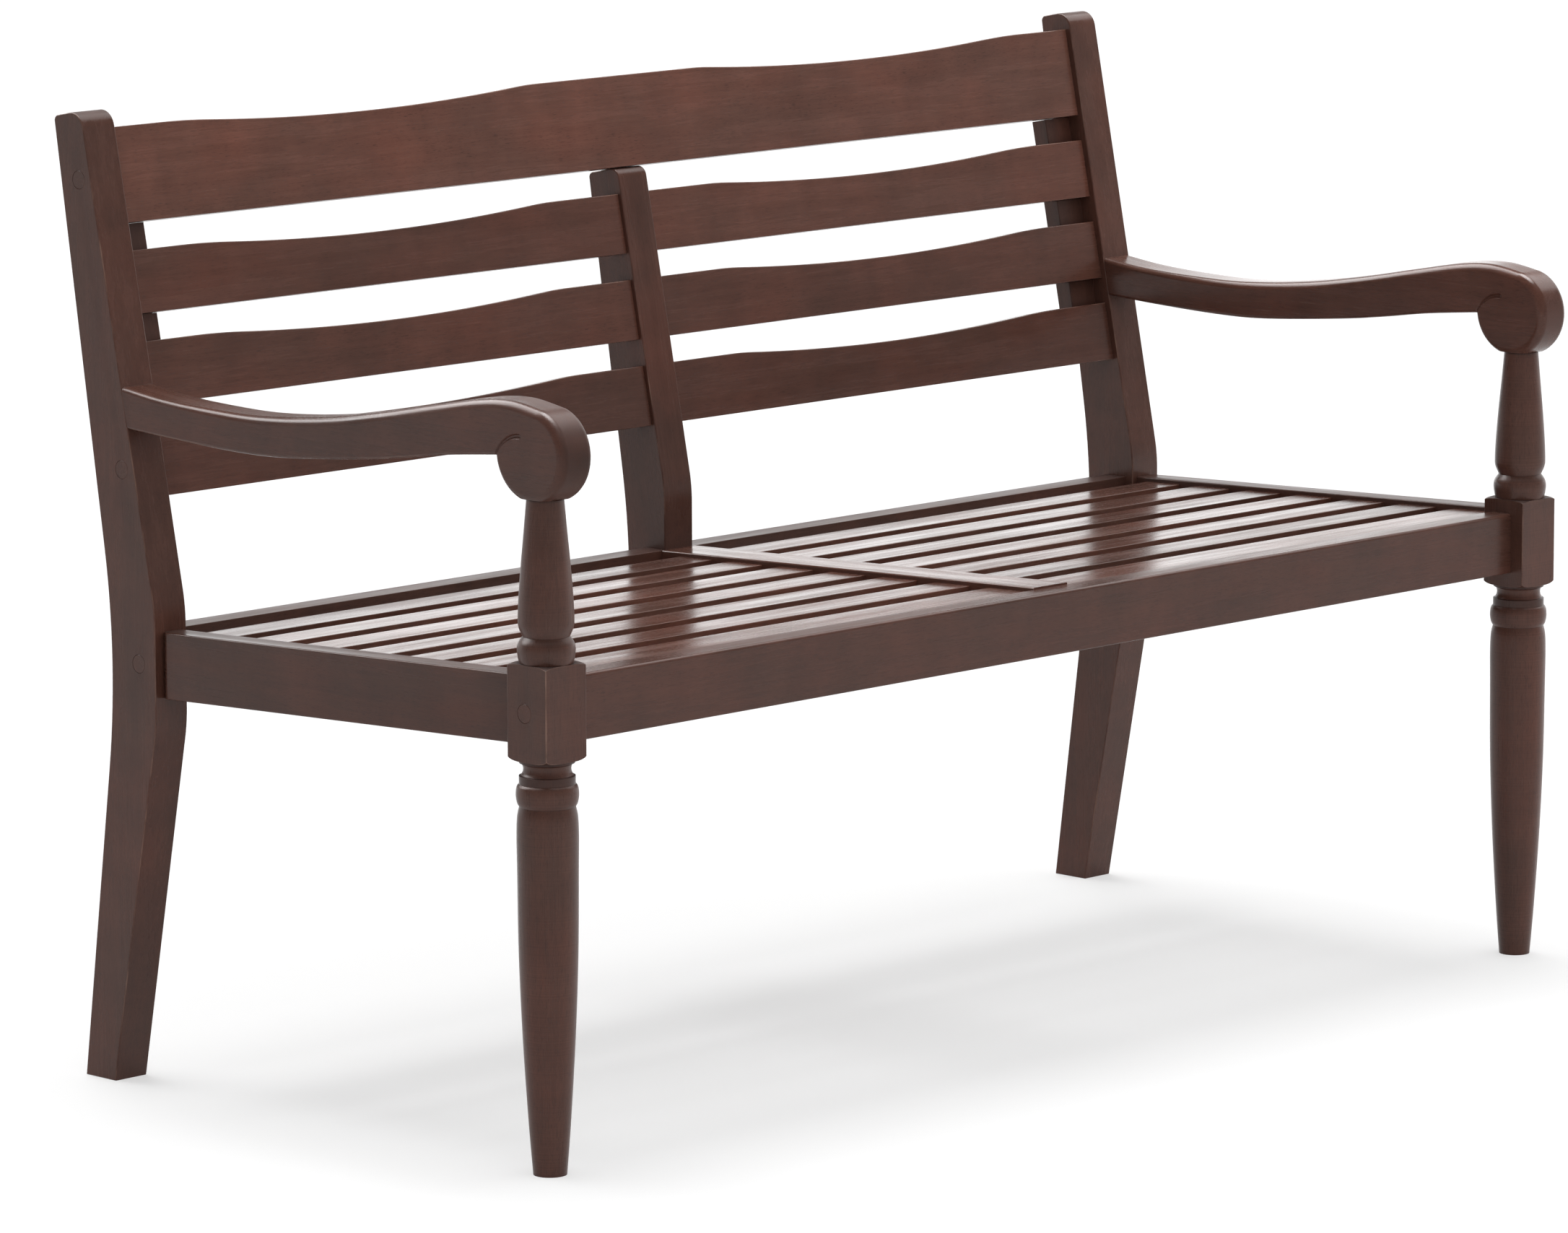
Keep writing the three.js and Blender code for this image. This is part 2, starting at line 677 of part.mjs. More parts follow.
function crestRail() {
  const end = postInner + overrun;
  const right = dip(crestTop);
  const left = right.toReversed().map(([x, v]) => [-x, v]);
  const outline = [
    [-end, crestBottom],
    [end, crestBottom],
    [end, crestTop],
    ...right,
    ...left,
    [-end, crestTop],
  ];
  const bolt = [boardMiddle, crestBottom + crestWidth / 2];
  const ends = [-postInner, postInner];
  return cut(board(outline, ends), ...bothEnds(endHole(postInner, bolt)), socket(crestTenon));
}

function backSlat(row) {
  const [bottom, top] = backSlatRange(row);
  const [inner, outer] = [centrePostWidth / 2, postInner];
  const outline = [
    [inner - overrun, bottom],
    [outer + overrun, bottom],
    [outer + overrun, top],
    ...dip(top),
    [inner - overrun, top],
  ];
  const slat = join(board(outline, [inner, outer]), box(...backSlatTenon(row)));
  return row === lowestRow ? cut(slat, endHole(outer, [boardMiddle, backSlatMiddle(row)])) : slat;
}

function centrePost() {
  const front = boardInset - centrePostProud;
  const top = crestBottom - clearance;
  const bendHeight = rakeHeight + (backRailInset - front / Math.cos(backRake)) / Math.tan(backRake);
  const corners = [
    [backRailFront, 0],
    ...rearCorners(top),
    [...raked(top, front), centrePostRadius],
    [backRailFront, bendHeight, frontBendRadius],
  ];
  const width = about(0, centrePostWidth);
  const blank = plank(eased(filleted(corners, postSteps), postEase), width, sideView);
  const wide = about(0, 2 * centrePostWidth);
  const below = box(wide, [0, footFront + 2 * footDepth], [-overrun, backRailTop - backRailDepth]);
  const railNotch = box(wide, [0, backRailBack], [-overrun, backRailTop]);
  const sockets = backRows.flatMap((row) => bothEnds(socket(backSlatTenon(row))));
  const cutters = sockets.map((geometry) => geometry.applyMatrix4(rakeFrame));
  return join(cut(blank, below, railNotch, ...cutters), box(...crestTenon).applyMatrix4(rakeFrame));
}

function batten() {
  const front = boardBack - battenHousing;
  const range = [postInner - battenWidth, postInner];
  const heights = [backSlatBottom(lowestRow) + battenRise, crestBottom - clearance];
  const across = [postInner - battenWidth - overrun, postInner + overrun];
  const housings = backRows.map((row) => socket([across, [boardInset, boardBack], backSlatRange(row)]));
  return cut(box(range, [front, front + battenThickness], heights), ...housings);
}

// A plug from the face of the wood inwards, and a bolt from the seat of its head
function plug() {
  const rim = plugRadius - plugChamfer;
  return alongX(revolved([[plugRadius, -plugLength], [plugRadius, -plugChamfer], [rim, 0]], plugFaces));
}

function bolt(length) {
  const head = alongX(revolved([[boltHeadRadius, 0], [boltHeadRadius, boltHeadHeight]], hexFaces));
  const point = [[boltPointRadius, -length], [shankRadius, boltPoint - length]];
  return join(head, alongX(revolved([...point, [shankRadius, boltHeadHeight / 2]], boltFaces)));
}

const bench = new THREE.Group();
const back = new THREE.Group();
back.applyMatrix4(rakeFrame);
const deck = new THREE.Group();
deck.rotation.x = -seatPitch;
deck.position.set(0, halfBlock, railTop);
bench.add(back, deck);

function add(parent, name, geometry, finish = woodFinish) {
  const smooth = toCreasedNormals(geometry, creaseAngle);
  const mesh = new THREE.Mesh(smooth, new THREE.MeshStandardMaterial(finish));
  mesh.name = name;
  parent.add(mesh);
  return mesh;
}

// The piece on the right, at a place, and its mirror image on the left
function addPair(parent, name, geometry, finish, place = new THREE.Vector3()) {
  const right = add(parent, name.replace("SIDE", "right"), geometry, finish);
  const left = add(parent, name.replace("SIDE", "left"), geometry, finish);
  right.position.copy(place);
  left.position.copy(place).setX(-place.x);
  left.scale.x = -1;
}

addPair(bench, "front_post_SIDE", frontPost());
addPair(bench, "back_post_SIDE", backPost());
addPair(bench, "arm_SIDE", arm());
addPair(bench, "side_rail_SIDE", sideRail());
add(bench, "front_rail", frontRail());
add(bench, "back_rail", backRail());
add(bench, "seat_divider", divider());
add(bench, "back_centre_post", centrePost());

for (let row = 0; row < slatsPerHalf; row++) {
  const geometry = row ? seatSlat(slatWidth) : frontSeatSlat();
  addPair(deck, `seat_slat_SIDE_${row + 1}`, geometry, woodFinish, new THREE.Vector3(0, slatStart(row), 0));
}
addPair(deck, "side_cleat_SIDE", cleat([railInner - cleatWidth, railInner]));
addPair(deck, "divider_cleat_SIDE", cleat([dividerWidth / 2, dividerWidth / 2 + cleatWidth]));

add(back, "crest_rail", crestRail());
for (const row of backRows) addPair(back, `back_slat_SIDE_${row + 1}`, backSlat(row));
addPair(back, "back_batten_SIDE", batten());

function addBolt(name, [y, z], outer, inner) {
  const seat = outer - plugHoleDepth;
  const length = seat - inner + boltReach;
  addPair(bench, `${name}_bolt_SIDE`, bolt(length), steelFinish, new THREE.Vector3(seat, y, z));
  addPair(bench, `${name}_plug_SIDE`, plug(), plugFinish, new THREE.Vector3(outer, y, z));
}

addBolt("front_rail", frontBoltPlace, blockOuter, blockInner);
for (const [name, place] of Object.entries(boltPlaces)) addBolt(name, place, postOuter, postInner);

// The origin is under the middle of the bench.
const extent = new THREE.Box3().setFromObject(bench);
bench.position.y = -extent.getCenter(new THREE.Vector3()).y;

export default bench;
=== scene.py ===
"""A slatted wooden bench for two, dressed for the studio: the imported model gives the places, and the
pieces here give them turned, eased and carved wood with a dark stain."""
import math
from functools import partial

import bmesh
import bpy
import numpy as np
from bpy.props import FloatProperty, FloatVectorProperty, IntProperty, PointerProperty
from mathutils import Matrix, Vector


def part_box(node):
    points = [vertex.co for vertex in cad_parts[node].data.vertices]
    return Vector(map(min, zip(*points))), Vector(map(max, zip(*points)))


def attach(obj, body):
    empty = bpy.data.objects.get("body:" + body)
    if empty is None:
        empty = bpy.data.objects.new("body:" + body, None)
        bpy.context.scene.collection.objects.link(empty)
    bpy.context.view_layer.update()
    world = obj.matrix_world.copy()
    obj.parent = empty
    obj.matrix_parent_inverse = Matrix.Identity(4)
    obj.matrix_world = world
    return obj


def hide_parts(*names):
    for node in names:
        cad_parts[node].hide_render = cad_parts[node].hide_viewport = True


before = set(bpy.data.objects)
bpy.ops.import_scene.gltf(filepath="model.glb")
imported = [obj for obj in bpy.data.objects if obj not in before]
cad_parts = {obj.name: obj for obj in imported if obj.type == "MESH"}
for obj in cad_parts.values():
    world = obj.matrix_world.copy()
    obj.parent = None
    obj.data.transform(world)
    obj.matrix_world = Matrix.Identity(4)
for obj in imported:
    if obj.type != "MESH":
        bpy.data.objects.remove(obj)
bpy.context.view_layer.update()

bl_info = {
    "name": "Slatted bench",
    "version": (1, 0, 0),
    "blender": (4, 5, 0),
    "location": "View3D > Sidebar > Bench",
    "description": "Builds a bench with turned front posts, scrolled arms and a back of dipped boards",
    "category": "Object",
}

ROOT = "root"
MM = 0.001
WOOD = "red_brown_stained_hardwood"
CLEAT_WOOD = "red_brown_stained_hardwood_cleat"
PLUG_WOOD = "red_brown_stained_end_grain"
STEEL = "zinc_plate_on_steel"


def length(name, description, default):
    return FloatProperty(name=name, description=description, default=default, unit="LENGTH", precision=4)


def angle(name, description, default):
    return FloatProperty(name=name, description=description, default=math.radians(default), subtype="ANGLE")


def linear(text):
    """An sRGB hex colour as the linear numbers that Blender works with."""
    parts = [int(text[i : i + 2], 16) / 255 for i in (1, 3, 5)]
    return [c / 12.92 if c <= 0.04045 else ((c + 0.055) / 1.055) ** 2.4 for c in parts] + [1.0]


def colour(name, description, default):
    return FloatVectorProperty(
        name=name, description=description, default=linear(default), size=4, min=0, max=1, subtype="COLOR"
    )


class BenchSizes(bpy.types.PropertyGroup):
    """Sizes of the whole bench and its posts, arms, rails and seat."""

    seat_pitch: angle("Seat pitch", "How far the seat falls to the back", 2.15)
    back_rake: angle("Back rake", "How far the back leans to the back", 11.5)
    leg_splay: angle("Leg splay", "How far the back legs splay to the back", 10.8)
    rail_top: length("Rail top", "Top edge of a side rail at the front post", 0.434)
    seat_depth: length("Seat depth", "From the front posts' axis to the back posts' face", 0.483)
    block: length("Block", "Width of the square block of a front post", 0.048)
    block_above: length("Block above rail", "Block above the side rail", 0.0085)
    block_below: length("Block below rail", "Block below the side rail", 0.008)
    vase: length("Vase", "Turned part from the block to the arm", 0.144)
    post: length("Back post", "Thickness of a back post", 0.0375)
    foot: length("Foot", "Depth of a back post at the floor", 0.040)
    waist: length("Waist", "Depth of a back post at the back rail", 0.0515)
    head: length("Head", "Depth of a back post at its head", 0.037)
    back_height: length("Back height", "From the bend above the seat to the head", 0.449)
    post_ease: length("Post ease", "Rounding of a back post's arrises", 0.0012)
    arm: length("Arm", "Thickness of an arm", 0.038)
    scroll: length("Scroll", "Radius of the arm's scroll", 0.041)
    crown_ease: length("Crown ease", "Rounding along the top of an arm", 0.008)
    crown_ease_at_post: length("Crown ease at post", "Rounding along the top at the back post", 0.004)
    front_rail: length("Front rail", "Thickness of the front rail", 0.024)
    front_rail_depth: length("Front rail depth", "Depth of the front rail", 0.0575)
    side_rail: length("Side rail", "Thickness of a side rail", 0.025)
    rail_depth: length("Rail depth", "Depth of the side and back rails", 0.060)
    seat_slats: IntProperty(name="Seat slats", description="Slats in each half of the seat", default=7)
    seat_slat: length("Seat slat", "Width of a seat slat", 0.043)
    front_slat: length("Front slat", "Width of the foremost seat slat", 0.055)
    slat_thickness: length("Slat thickness", "Thickness of a seat slat", 0.016)
    slat_recess: length("Slat recess", "Seat slats under the top of the side rails", 0.004)
    slat_radius: length("Slat radius", "Rounding of a seat slat's top edges", 0.0025)
    divider: length("Divider", "Width and depth of the bar between the halves of the seat", 0.045)


class BenchBack(bpy.types.PropertyGroup):
    """Sizes of the boards of the back and what holds them."""

    rows: IntProperty(name="Rows", description="Rows of slats under the crest rail", default=3)
    board: length("Board", "Thickness of the boards", 0.020)
    inset: length("Inset", "Boards behind the face of the back posts", 0.0059)
    ease: length("Ease", "Rounding of the boards' long edges", 0.0012)
    crest: length("Crest", "Width of the crest rail", 0.0863)
    head_room: length("Head room", "Crest rail under the head of the posts", 0.0172)
    slat: length("Back slat", "Width of a back slat", 0.0568)
    pitch: length("Pitch", "From one back slat to the next", 0.0818)
    dip: length("Dip", "Depth of the dips in the top edges", 0.0085)
    dip_from_post: length("Dip from post", "Straight edge at a back post", 0.093)
    dip_from_centre: length("Dip from centre", "Start of a dip from the middle of the bench", 0.115)
    centre_post: length("Centre post", "Width of the centre post", 0.037)
    batten: length("Batten", "Width of a batten", 0.034)
    batten_thickness: length("Batten thickness", "Thickness of a batten", 0.0186)
    plug: length("Plug", "Radius of a plug over a bolt", 0.0083)


class BenchFinish(bpy.types.PropertyGroup):
    """Colours and surface of the stained hardwood, the steel and the floor."""

    stain: colour("Stain", "Body of the stain", "#54382f")
    stain_red: colour("Red stain", "Where the wood took the stain thinly", "#663c30")
    stain_dark: colour("Dark stain", "Where the wood took more stain", "#4c332b")
    # The pore colour also darkens the turning's creases, where it is partly painted shade
    pore: colour("Pore", "Stain settled in the pores", "#34231f")
    worn: colour("Worn arris", "Edges rubbed through to paler wood", "#96786a")
    steel: colour("Steel", "Zinc plated steel of the bolts", "#a9abad")
    floor: colour("Floor", "Paint of the floor", "#bcbcbc")
    roughness: FloatProperty(
        name="Roughness", description="Roughness of the satin seal", default=0.22, min=0, max=1,
        subtype="FACTOR",
    )
    figure: length("Figure", "Width of the broad streaks in the wood", 0.016)
    grain: length("Grain", "Width of the fine streaks", 0.0022)
    pore_width: length("Pore width", "Width of the pores, wider than real ones so that they show", 0.0006)
    blotch: length("Blotch", "Size of the patches that took the stain thinly", 0.09)
    wipe: length("Wipe", "Size of the clouds that the wiping cloth left", 0.08)
    rub: length("Rub", "Size of the rubbed and unrubbed stretches of an arris", 0.03)


# Shares that shape the turned posts: height in the part, then radius over half the block's width
LEG_SHARES = [
    [
        (0, 0.61), (0.13, 0.765), (0.33, 0.95), (0.53, 1.065),
        (0.73, 1.1), (0.81, 1.113), (0.855, 1.085), (0.878, 1.01),
    ],
    [(0.878, 1.01), (0.888, 1.09), (0.906, 1.13), (0.924, 1.1), (0.932, 1.02)],
    [(0.934, 1.012), (0.951, 1.012)],
    [(0.953, 0.94), (0.96, 0.88), (0.969, 0.86), (0.977, 0.89), (0.98, 0.94)],
    [(0.982, 1.0), (0.987, 1.0)],
]
VASE_SHARES = [
    [(0.0207, 0.975), (0.06, 1.02), (0.1, 1.045), (0.14, 1.0), (0.179, 0.846)],
    [
        (0.179, 0.846), (0.233, 0.98), (0.285, 1.005), (0.42, 0.97),
        (0.61, 0.883), (0.8, 0.777), (0.996, 0.674),
    ],
    [(0.996, 0.674), (1, 0.645)],
]
# Shares that shape the arm: place along it, then height over the scroll's middle by its radius
CROWN_SHARES = [
    (1.075, 0.36), (0.92, 0.11), (0.77, 0.02), (0.65, 0.03), (0.5, 0.195),
    (0.365, 0.4625), (0.235, 0.78), (0.125, 1.035), (0.05, 1.095),
]
UNDERSIDE_SHARES = [
    (0.083, -0.07), (0.2, -0.225), (0.307, -0.425), (0.412, -0.59), (0.59, -0.79),
    (0.7, -0.825), (0.85, -0.765), (0.998, -0.66), (1.075, -0.59),
]
# How far the block's faces are cut back where round meets square, at its lower and its upper end
SHOULDER_BELOW = 4.7 * MM
SHOULDER_ABOVE = 3 * MM
NECK_INSET = 0.4 * MM  # the turned neck inside the faces of the block
ARRIS = 1 * MM  # rounding of the block's upright corners
CORNER_TURNS = np.radians([-1.25, -0.8, -0.4, 0, 0.4, 0.8, 1.25])  # points of that rounding
WORN_BAND = 0.8 * MM  # rubbed part of a face beside its shoulder
WORN_EASE = 2 * MM  # a wider rounding is rubbed less
PIN_RADIUS = 8 * MM
PIN_LENGTH = 20 * MM
SCROLL_FLAT = 3.5 * MM  # how far the scroll is flattened over the front post
UNDERSIDE_EASE = 3 * MM
CROWN_EASE_SHARE = 0.6  # of the arm's length, where its rounding starts to narrow
SCROLL_START = math.radians(105)
SCROLL_END = math.radians(356)
# The carved groove: its arc's middle and radius are shares of the scroll's radius
GROOVE_WIDTH = 5.2 * MM
GROOVE_CENTRE = (0.31, -0.36)
GROOVE_RADIUS = 0.75
GROOVE_ARC = (math.radians(8), math.radians(96))
GROOVE_FADE = 0.45  # share of its width left at its lower end
GROOVE_TIP = (0.93, 0.075)  # where its upper end starts to round off, and over which share
GROOVE_LEAST = 0.15 * MM
# The gouge's section, in and across, over half the groove's width
GROOVE_SECTION = np.array([
    (0, 1), (0.8, 0.35), (0.9, 0), (0.8, -0.35), (0, -1), (-0.8, -0.35), (-0.9, 0), (-0.8, 0.35),
])
# The upright stretch of a back post, above and below the side rail
LANDING_ABOVE = 20 * MM
LANDING_BELOW = 25 * MM
FRONT_BEND = 150 * MM  # radius of the bends in its front edge, and in its rear edge
REAR_BEND = 700 * MM
HEAD_RADIUS = 16 * MM
HEAD_REAR_RADIUS = 5 * MM
FRONT_RAIL_INSET = 14.6 * MM
FRONT_RAIL_DROP = 1.5 * MM
FRONT_RAIL_RADIUS = 3 * MM
FINE_EASE = 0.5 * MM  # of the rails' edges beside the seat
BACK_RAIL = 25 * MM
BACK_RAIL_INSET = 9.5 * MM
RAIL_EASE = 1.5 * MM
RAIL_CORNER = 10 * MM
CENTRE_PROUD = 4 * MM  # how far the centre post stands in front of the boards
CENTRE_RADIUS = 10 * MM
HOUSING = 6.3 * MM  # how far the battens are notched for the slats
BATTEN_RISE = 8 * MM
BATTEN_EASE = 1 * MM
PLUG_DEPTH = 8 * MM
PLUG_GAP = 0.12 * MM  # the ring of shadow round a plug
PLUG_CHAMFER = 0.3 * MM
PLUG_SIDES = 48
BOTTOM_EASE_SHARE = 0.5  # a board's lower edges are eased less
SLAT_UNDER_SHARE = 0.3  # and so are a seat slat's
DIP_EASE = (12 * MM, 28 * MM)  # half the length of the ease at a dip's inner and outer end
SLACK = 0.3 * MM  # play in a joint
MERGE, PLUG_MERGE = 0.001 * MM, 0.01 * MM  # points that lie this close are one
OVERRUN = 12 * MM  # how far a cutter stands past what it cuts
# How finely curves are drawn, as steps
CORNER_STEPS, BEND_STEPS, RAIL_CORNER_STEPS = 8, 14, 12
EDGE_STEPS, CROWN_EDGE_STEPS, SLAT_EDGE_STEPS = 4, 7, 5
TURNED_STEPS, SHOULDER_STEPS, ROUND_STEPS = 8, 8, 24
CROWN_STEPS, SCROLL_STEPS, UNDERSIDE_STEPS, GROOVE_STEPS = 64, 48, 48, 24
DIP_STEPS, DIP_EASE_STEPS = 60, 80
EVEN_ANGLE = math.radians(32)  # faces that meet at less are shaded as one


def add(tree, kind, inputs=None, **settings):
    """A node of a tree with its settings.

    The inputs are a dict, or a tuple for the first ones. Each is a value, or a socket to link from, or a
    node, which stands for its first output in use.
    """
    node = tree.nodes.new(kind)
    for key, value in settings.items():
        setattr(node, key, value)
    for key, value in inputs.items() if isinstance(inputs, dict) else enumerate(inputs or ()):
        if isinstance(value, bpy.types.Node):
            value = next(socket for socket in value.outputs if socket.enabled)
        if isinstance(value, bpy.types.NodeSocket):
            tree.links.new(value, node.inputs[key])
        else:
            node.inputs[key].default_value = value
    return node


class Places:
    """Where things are on the bench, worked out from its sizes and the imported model."""

    def __init__(self, sizes, back):
        low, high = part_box("front_post_right")
        self.side = (low.x + high.x) / 2
        self.axis = (low.y + high.y) / 2
        self.half = sizes.block / 2
        self.block_inner = self.side - self.half
        self.block_outer = self.side + self.half
        self.post_inner = self.side - sizes.post / 2
        self.post_outer = self.side + sizes.post / 2
        self.rail_inner = self.side - sizes.side_rail / 2
        self.rail_outer = self.side + sizes.side_rail / 2
        self.leg = sizes.rail_top - sizes.rail_depth - sizes.block_below
        self.block_top = sizes.rail_top + sizes.block_above
        self.arm_flat = self.block_top + sizes.vase
        self.scroll_height = self.arm_flat + sizes.scroll - SCROLL_FLAT
        self.front_rail_front = FRONT_RAIL_INSET - self.half
        self.front_rail_back = self.front_rail_front + sizes.front_rail
        self.front_rail_top = sizes.rail_top - FRONT_RAIL_DROP
        self.front_rail_bottom = self.front_rail_top - sizes.front_rail_depth
        self.front_bolt = [
            self.front_rail_front + sizes.front_rail / 2, self.front_rail_top - sizes.front_rail_depth / 2,
        ]
        self.back_rail_front = sizes.seat_depth + BACK_RAIL_INSET
        self.back_rail_back = self.back_rail_front + BACK_RAIL
        self.pitch = sizes.seat_pitch
        self.rail_top = sizes.rail_top
        self.back_rail_top = self.seat_line(self.back_rail_front)
        self.back_rail_bottom = self.back_rail_top - sizes.rail_depth
        self.back_rail_centre = self.back_rail_top - sizes.rail_depth / 2
        self.bend = self.seat_line(sizes.seat_depth) + LANDING_ABOVE
        self.landing = self.seat_line(sizes.seat_depth) - sizes.rail_depth - LANDING_BELOW
        self.foot_front = sizes.seat_depth + math.tan(sizes.leg_splay) * self.landing
        self.arm_length = sizes.seat_depth + math.tan(sizes.back_rake) * (self.scroll_height - self.bend)
        self.board_back = back.inset + back.board
        self.board_middle = back.inset + back.board / 2
        self.crest_top = sizes.back_height - back.head_room
        self.crest_bottom = self.crest_top - back.crest
        self.slat_bottoms = [self.crest_bottom - (row + 1) * back.pitch for row in range(back.rows)]
        self.world = Matrix.Translation((0, self.axis, 0))
        leaning = Matrix.Rotation(-sizes.back_rake, 4, "X")
        falling = Matrix.Rotation(-sizes.seat_pitch, 4, "X")
        self.rake = Matrix.Translation((0, sizes.seat_depth, self.bend)) @ leaning
        self.deck = Matrix.Translation((0, self.half, sizes.rail_top)) @ falling
        self.slat_under = sizes.slat_recess + sizes.slat_thickness
        self.deck_front = self.along_deck(self.front_rail_back + SLACK, self.slat_under)
        deck_back = self.along_deck(self.back_rail_front, sizes.slat_recess)
        room = deck_back - self.deck_front - sizes.front_slat - (sizes.seat_slats - 1) * sizes.seat_slat
        self.slat_gap = room / sizes.seat_slats

    def seat_line(self, y):
        """Height of the top of the side rails at a place y."""
        return self.rail_top - math.tan(self.pitch) * (y - self.half)

    def along_deck(self, y, under):
        """How far along the pitched seat a place y is, so far under its top line."""
        return (y - self.half + under * math.sin(self.pitch)) / math.cos(self.pitch)

    def raked(self, v, w):
        """[y, z] of a place in the raked back's own frame."""
        place = self.rake @ Matrix.Translation((0, w, v))
        return [place.translation.y, place.translation.z]

    def unraked(self, y, z):
        """[v, w] in the raked back's own frame of a place [y, z]."""
        place = self.rake.inverted() @ Matrix.Translation((0, y, z))
        return place.translation.z, place.translation.y


def places():
    """The sizes of the bench and of its back, and the places that follow from them."""
    scene = bpy.context.scene
    return scene.bench_sizes, scene.bench_back, Places(scene.bench_sizes, scene.bench_back)


def spline(points, count):
    """Points of a smooth curve through the given ones."""
    points = np.array(points, float)
    made = []
    for t in np.linspace(0, len(points) - 1, count + 1):
        i = min(int(t), len(points) - 2)
        w = t - i
        p0, p1, p2 = points[max(i - 1, 0)], points[i], points[i + 1]
        p3 = points[min(i + 2, len(points) - 1)]
        v0, v1 = (p2 - p0) / 2, (p3 - p1) / 2
        cubic = 2 * p1 - 2 * p2 + v0 + v1
        square = -3 * p1 + 3 * p2 - 2 * v0 - v1
        made.append(cubic * w**3 + square * w**2 + v0 * w + p1)
    return np.array(made)


def filleted(corners, steps=CORNER_STEPS):
    """Points [a, b] of an outline whose corners [a, b, radius] are rounded with true arcs."""
    made = []
    for i, (a, b, *radius) in enumerate(corners):
        corner = np.array([a, b])
        if not radius:
            made.append(corner)
            continue
        before = np.array(corners[i - 1][:2]) - corner
        after = np.array(corners[(i + 1) % len(corners)][:2]) - corner
        before_length, after_length = np.linalg.norm(before), np.linalg.norm(after)
        before, after = before / before_length, after / after_length
        half = math.acos(before @ after) / 2
        reach = min(radius[0] / math.tan(half), before_length / 2, after_length / 2)
        start = before * reach
        centre = (before + after) / np.linalg.norm(before + after) * reach / math.cos(half)
        spoke = start - centre
        turn = math.copysign(1, before[0] * after[1] - before[1] * after[0]) * (2 * half - math.pi)
        for step in range(steps + 1):
            c, s = math.cos(turn * step / steps), math.sin(turn * step / steps)
            made.append(corner + centre + [spoke[0] * c - spoke[1] * s, spoke[0] * s + spoke[1] * c])
    return np.array(made)


SIDE_VIEW = np.array([[0, 1, 0], [0, 0, 1], [1, 0, 0]], float)
FRONT_VIEW = np.array([[1, 0, 0], [0, 0, 1], [0, -1, 0]], float)
PLAN_VIEW = np.eye(3)


def loft(rings, worn=None):
    """A closed solid through rings of points: (points, faces, how worn each point is, where below 0 a crease
    is darkened partly as painted shade).
    """
    count = len(rings[0])
    index = np.arange(count)
    after = (index + 1) % count
    faces = []
    for level in range(len(rings) - 1):
        a, b = level * count + index, level * count + after
        faces += np.stack([a, b, b + count, a + count], 1).tolist()
    last = (len(rings) - 1) * count
    faces += [index[::-1].tolist(), (index + last).tolist()]
    points = np.vstack(rings)
    return points, faces, np.zeros(len(points)) if worn is None else np.array(worn, float)


def plank(outline, span, view, eases=0.0, steps=EDGE_STEPS):
    """A solid from an anticlockwise outline run through its thickness, its edges rounded to eases."""
    flat = np.array(outline, float)
    eases = np.broadcast_to(eases, len(flat)).astype(float)
    arriving = flat - np.roll(flat, 1, 0)
    arriving /= np.linalg.norm(arriving, axis=1)[:, None]
    leaving = np.roll(arriving, -1, 0)
    along = (arriving + leaving) / (1 + (arriving * leaving).sum(1))[:, None]
    inward = np.stack([-along[:, 1], along[:, 0]], 1)
    stops = steps if eases.any() else 0
    angles = [math.pi / 2 * (1 - i / stops if stops else 1) for i in range(stops + 1)]
    rings, worn = [], []
    for face, direction, turns in ((span[0], 1, angles), (span[1], -1, angles[::-1])):
        for turn in turns:
            ab = flat + inward * (eases * (1 - math.cos(turn)))[:, None]
            depth = face + direction * eases * (1 - math.sin(turn))
            rings.append(np.column_stack([ab, depth]) @ view)
            worn.append(math.sin(2 * turn) * WORN_EASE / np.maximum(eases, WORN_EASE) * (eases > 0))
    return loft(rings, np.concatenate(worn))


def box(*ranges):
    """A plain box from its three ranges."""
    (x0, x1), (y0, y1), z = ranges
    return plank([(x0, y0), (x1, y0), (x1, y1), (x0, y1)], z, PLAN_VIEW)


def about(middle, size):
    """A range of a size about its middle."""
    return middle - size / 2, middle + size / 2


def rod(radius, start, end, place):
    """A round bar along X."""
    turns = np.linspace(0, 2 * math.pi, PLUG_SIDES, endpoint=False)
    around = np.column_stack([np.cos(turns), np.sin(turns)]) * radius + place
    ring = np.column_stack([np.zeros(PLUG_SIDES), around])
    return loft([ring + [start, 0, 0], ring + [end, 0, 0]])


def moved(shape, matrix):
    """A shape after a turn and a move."""
    points, faces, worn = shape
    turned = np.column_stack([points, np.ones(len(points))]) @ np.array(matrix).T
    return turned[:, :3], faces, worn


def mirrored(shape):
    """A shape's mirror image on the other side of the bench."""
    points, faces, worn = shape
    return points * [-1, 1, 1], [face[::-1] for face in faces], worn


def marked(mesh, name, values):
    """Stores a value or a vector for each point of a mesh."""
    values = np.asarray(values, np.float32)
    old = mesh.attributes.get(name)
    if old:
        mesh.attributes.remove(old)
    kind, key = ("FLOAT", "value") if values.ndim == 1 else ("FLOAT_VECTOR", "vector")
    mesh.attributes.new(name, kind, "POINT").data.foreach_set(key, values.ravel())


def rows_of(items, field):
    """The vectors that items such as a mesh's points hold in a field."""
    values = np.zeros(len(items) * 3, np.float32)
    items.foreach_get(field, values)
    return values.reshape(-1, 3)


def mesh_of(name, shape):
    """A mesh of a shape, with its doubles merged and its faces outwards."""
    points, faces, worn = shape
    mesh = bpy.data.meshes.new(name)
    mesh.from_pydata(points.tolist(), [], faces)
    marked(mesh, "worn", worn)
    work = bmesh.new()
    work.from_mesh(mesh)
    bmesh.ops.remove_doubles(work, verts=work.verts, dist=MERGE)
    bmesh.ops.recalc_face_normals(work, faces=work.faces)
    work.to_mesh(mesh)
    work.free()
    return mesh


